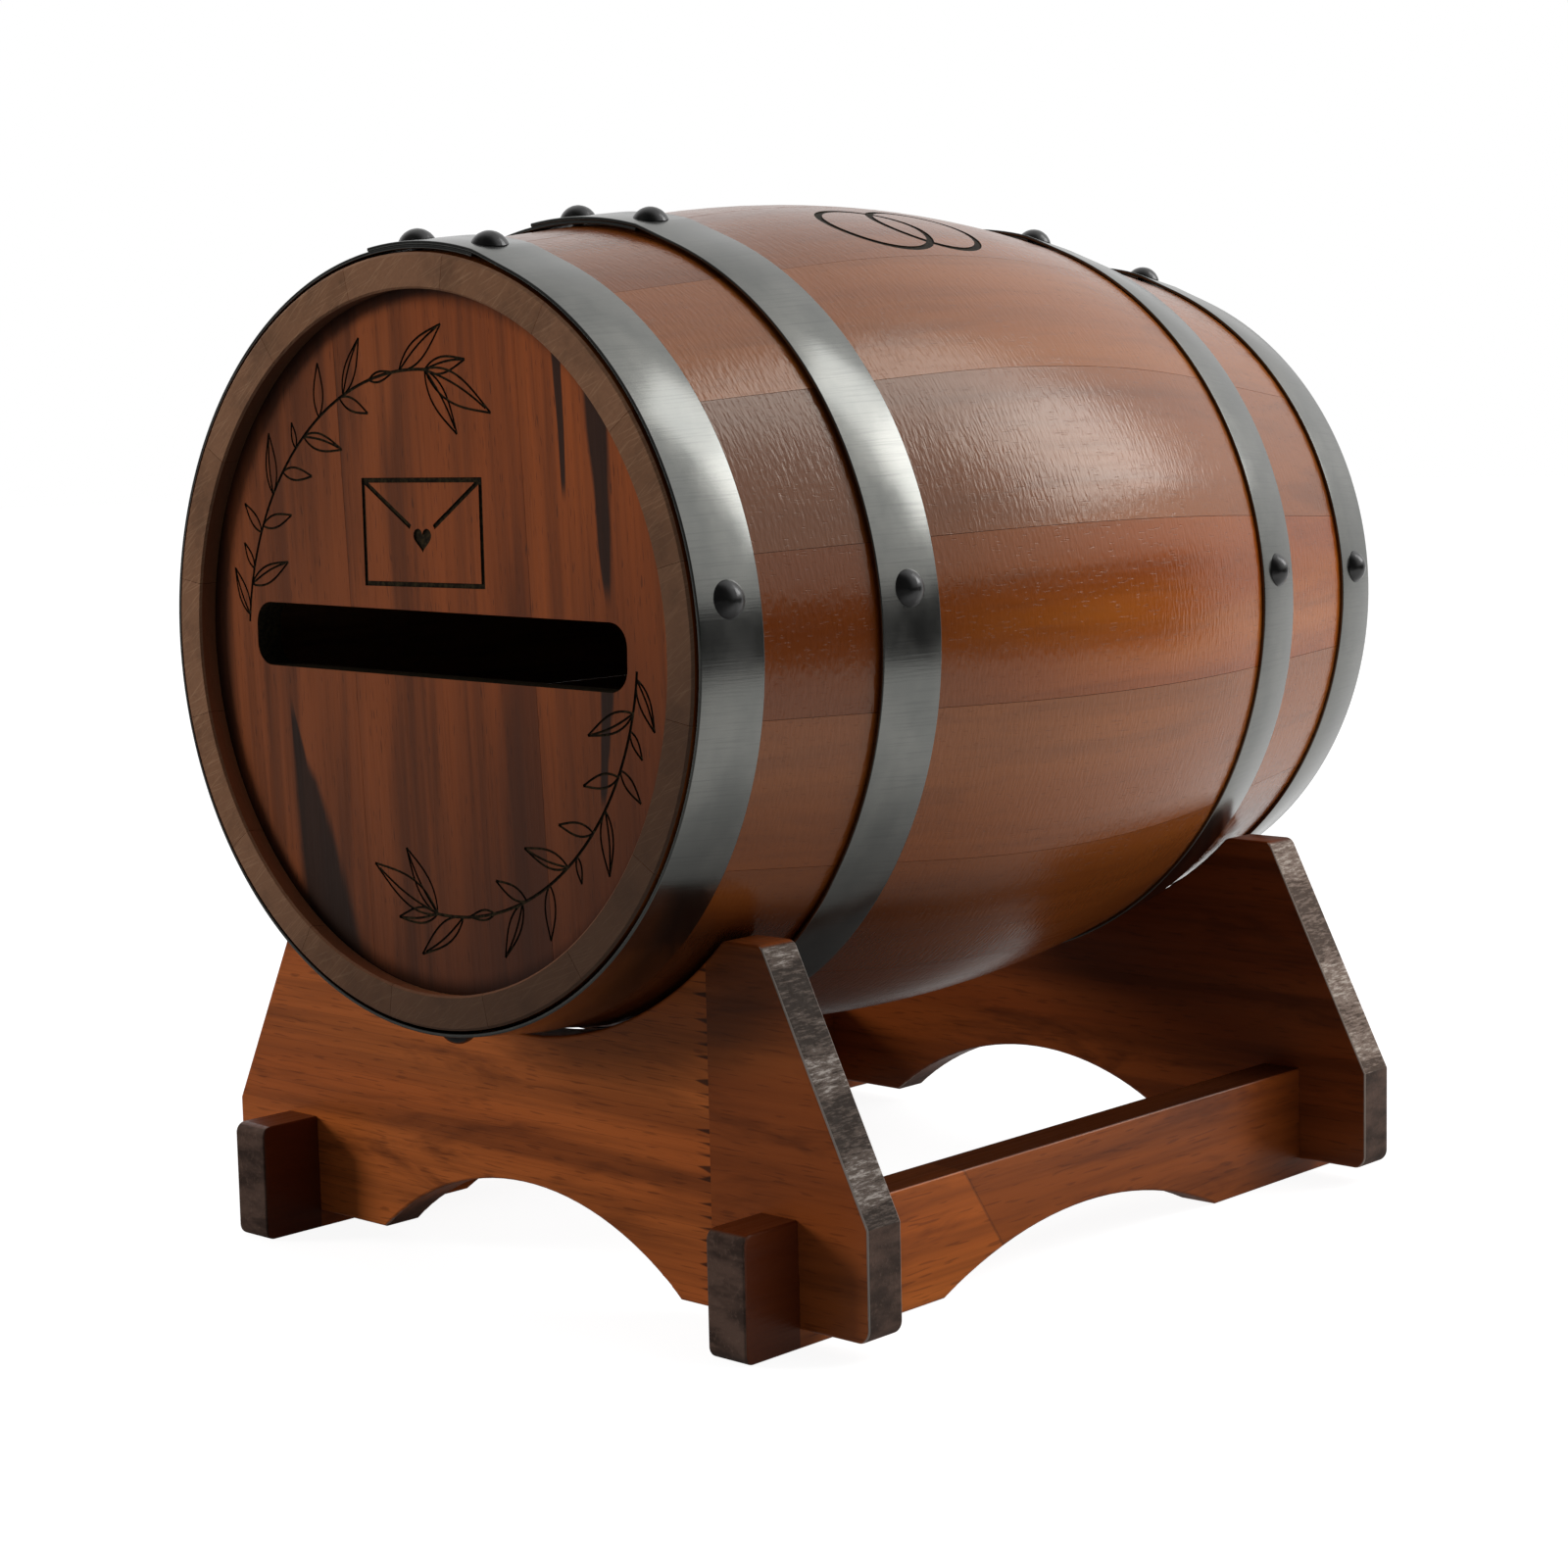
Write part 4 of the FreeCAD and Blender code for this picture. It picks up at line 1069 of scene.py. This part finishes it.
# Burnt wood in the engraved lines and on the walls of the slot, and glossy black paint on the rivets
charred = mottled_material("charred_engraving", SOOT, CHARRED, low=0.35, roughness=0.8,
                           depth=0.0002, strength=0.4, specular=0.2)
black_paint = mottled_material("rivet_black", PAINT_PEEL, RIVET_BLACK, low=0.3, roughness=0.24,
                               depth=0.0001, strength=0.2)
head_wood = head_material()
steel = steel_material()
stave_woods = {number: stave_material(number) for number in range(1, STAVE_COUNT + 1)}

make_head_boards(head_wood, charred)
make_ring_stave(stave_woods[RING_STAVE], charred)
for hoop_name in HOOP_NAMES:
    make_hoop(hoop_name, steel)
for number, wood in stave_woods.items():
    paint(wood, "stave_%02d" % number)
paint(black_paint, *[name + "_rivets" for name in HOOP_NAMES])
paint(stand_material("front_cradle_varnish", STAND_TONES, True, finger_joint, FRONT_SAWN), "front_cradle")
# Rear cradle: shaded stand tones and lit sawn tones, painted shade and light
paint(stand_material("rear_cradle_varnish_painted_light", SHADED_REAR_STAND_TONES, True, None, LIT_REAR_SAWN), "rear_cradle")
paint(stand_material("rail_varnish", RAIL_TONES, False, scarf_joint), "left_rail", "right_rail")
paint(plain_wood_material("door_satin", DOOR_TONES, True),
      "door_left_board", "door_middle_board", "door_right_board")
paint(plain_wood_material("inner_bare", INNER_TONES, False),
      "door_stop_ring", "door_upper_batten", "door_lower_batten")
paint(metal_material("hinge_brass", BRASS, 0.3),
      "hinge_rim_leaf", "hinge_door_leaf", "hinge_pin", "hinge_rim_screws", "hinge_door_screws")
paint(metal_material("lock_chrome", CHROME, 0.14), "lock_housing", "lock_plug")
paint(metal_material("zinc_plate", ZINC, 0.36),
      "lock_nut", "lock_cam", "lock_cam_screw", "door_batten_screws")


# Studio

def grey(level):
    """Neutral colour."""
    return (level, level, level, 1.0)


def direction(azimuth, elevation):
    """Unit vector at an angle from +X towards +Y and an angle up, in degrees."""
    turn, rise = radians(azimuth), radians(elevation)
    return Vector((cos(turn) * cos(rise), sin(turn) * cos(rise), sin(rise)))


def make_camera():
    """Camera where the photograph was taken from."""
    back = direction(CAMERA_AZIMUTH, CAMERA_ELEVATION)
    right = (-back).cross(Vector((0, 0, 1))).normalized()
    up = back.cross(right)
    level = Matrix((right, up, back)).transposed()
    data = bpy.data.cameras.new("photo_camera")
    data.lens = CAMERA_LENS
    data.sensor_width = SENSOR_WIDTH
    camera = new_object("photo_camera", data)
    rolled = level @ Matrix.Rotation(radians(CAMERA_ROLL), 3, "Z")
    camera.matrix_world = Matrix.Translation(CAMERA_PLACE) @ rolled.to_4x4()
    bpy.context.scene.camera = camera


def make_softbox(name, box):
    """Rectangular soft light that faces the middle of the object."""
    data = bpy.data.lights.new(name, "AREA")
    data.shape = "RECTANGLE"
    data.size = box.width
    data.size_y = box.height
    data.energy = box.radiance * pi * box.width * box.height
    away = direction(box.azimuth, box.elevation)
    light = new_object(name, data)
    light.location = STUDIO_CENTRE + away * SOFTBOX_DISTANCE
    light.rotation_euler = away.to_track_quat("Z", "Y").to_euler()
    light.visible_glossy = box.reflected


def make_world():
    """Studio walls: bright behind the object, dim in front, a halo round the key, and a white backdrop."""
    world = bpy.data.worlds.new("studio")
    bpy.context.scene.world = world
    world.use_nodes = True
    world.node_tree.nodes.clear()
    shader = Shader(world.node_tree)
    ray = shader.coordinates("Generated")

    def towards(azimuth, elevation):
        return shader.dot(ray, tuple(direction(azimuth, elevation)))

    _, _, up = shader.parts(ray)
    wall = shader.fade(towards(BRIGHT_AZIMUTH, 0), -0.35, 0.3, DIM_WALL, BRIGHT_WALL)
    wall = shader.times(wall, shader.fade(up, -0.05, 0.4, 0.85, 1.0))
    fill = shader.mask(towards(FILL.azimuth, FILL.elevation), 0.3, 0.9, FILL_WALL)
    key_height = (KEY_LOW.elevation + KEY_HIGH.elevation) / 2
    halo = shader.mask(towards(KEY_LOW.azimuth, key_height), 0.7, 0.95, HALO)
    level = shader.plus(wall, shader.plus(fill, halo))
    seen = shader.add("LightPath", {}, "Is Camera Ray")
    background = shader.add("Background", {"Color": shader.mix(seen, level, grey(1.0))})
    shader.add("OutputWorld", {"Surface": background})


def studio_sheet(name, vertices, faces, base, glow):
    """Matt grey sheet; glow works out the strength of its own light from its shader and coordinates."""
    material, shader, place = new_material(name)
    shader.surface(grey(base), 0.9, {"Specular IOR Level": 0.0, "Emission Color": grey(1.0),
                                     "Emission Strength": glow(shader, place)})
    mesh = new_mesh(name, vertices, faces)
    mesh.materials.append(material)
    sheet = new_object(name, mesh)
    return sheet


def floor_sheet(name, z, base, glow):
    """Level sheet of floor."""
    corners = [(x * FLOOR_REACH, y * FLOOR_REACH, z) for x, y in ((-1, -1), (1, -1), (1, 1), (-1, 1))]
    return studio_sheet(name, corners, [(0, 1, 2, 3)], base, glow)


def shaded_glow(shader, place):
    """Glow of the floor that lights the object: none under it, and little towards the camera."""
    away = shader.add("VectorMath", {0: place}, "Value", operation="LENGTH")
    glow = shader.mask(away, *FLOOR_GLOW_REACH, LIGHTING_GLOW)
    for shade in FLOOR_SHADES:
        reach = shader.dot(place, tuple(direction(shade.azimuth, 0)))
        glow = shader.times(glow, shader.fade(reach, shade.start, shade.end, 1.0, SHADED_SHARE))
    return glow


def make_floor():
    """White floor that only the camera sees, and under it the floor that lights the object."""
    seen = floor_sheet("white_floor", SEEN_FLOOR_LEVEL, SEEN_FLOOR_GREY, lambda shader, place: SEEN_GLOW)
    seen.visible_diffuse = False
    seen.visible_glossy = False
    seen.visible_shadow = False
    lighting = floor_sheet("matt_floor", LIGHTING_FLOOR_LEVEL, LIGHTING_FLOOR_GREY, shaded_glow)
    lighting.visible_camera = False


def make_card():
    """Low dark card beside the set, which draws the dark line in the hoops' reflections."""
    vertices = []
    for angle in spread(CARD_START, CARD_END, CARD_STEPS):
        turn = radians(angle)
        foot = (CARD_DISTANCE * cos(turn), CARD_DISTANCE * sin(turn))
        vertices += [(*foot, 0.0), (*foot, CARD_HEIGHT)]
    faces = [(2 * step, 2 * step + 1, 2 * step + 3, 2 * step + 2) for step in range(CARD_STEPS)]
    card = studio_sheet("dark_card", vertices, faces, CARD_GREY, lambda shader, place: 0.0)
    card.visible_camera = False
    card.visible_shadow = False


make_camera()
make_world()
make_floor()
make_card()
make_softbox("key_softbox_low", KEY_LOW)
make_softbox("key_softbox_high", KEY_HIGH)
make_softbox("fill_softbox", FILL)
bpy.context.scene.view_settings.view_transform = "Standard"
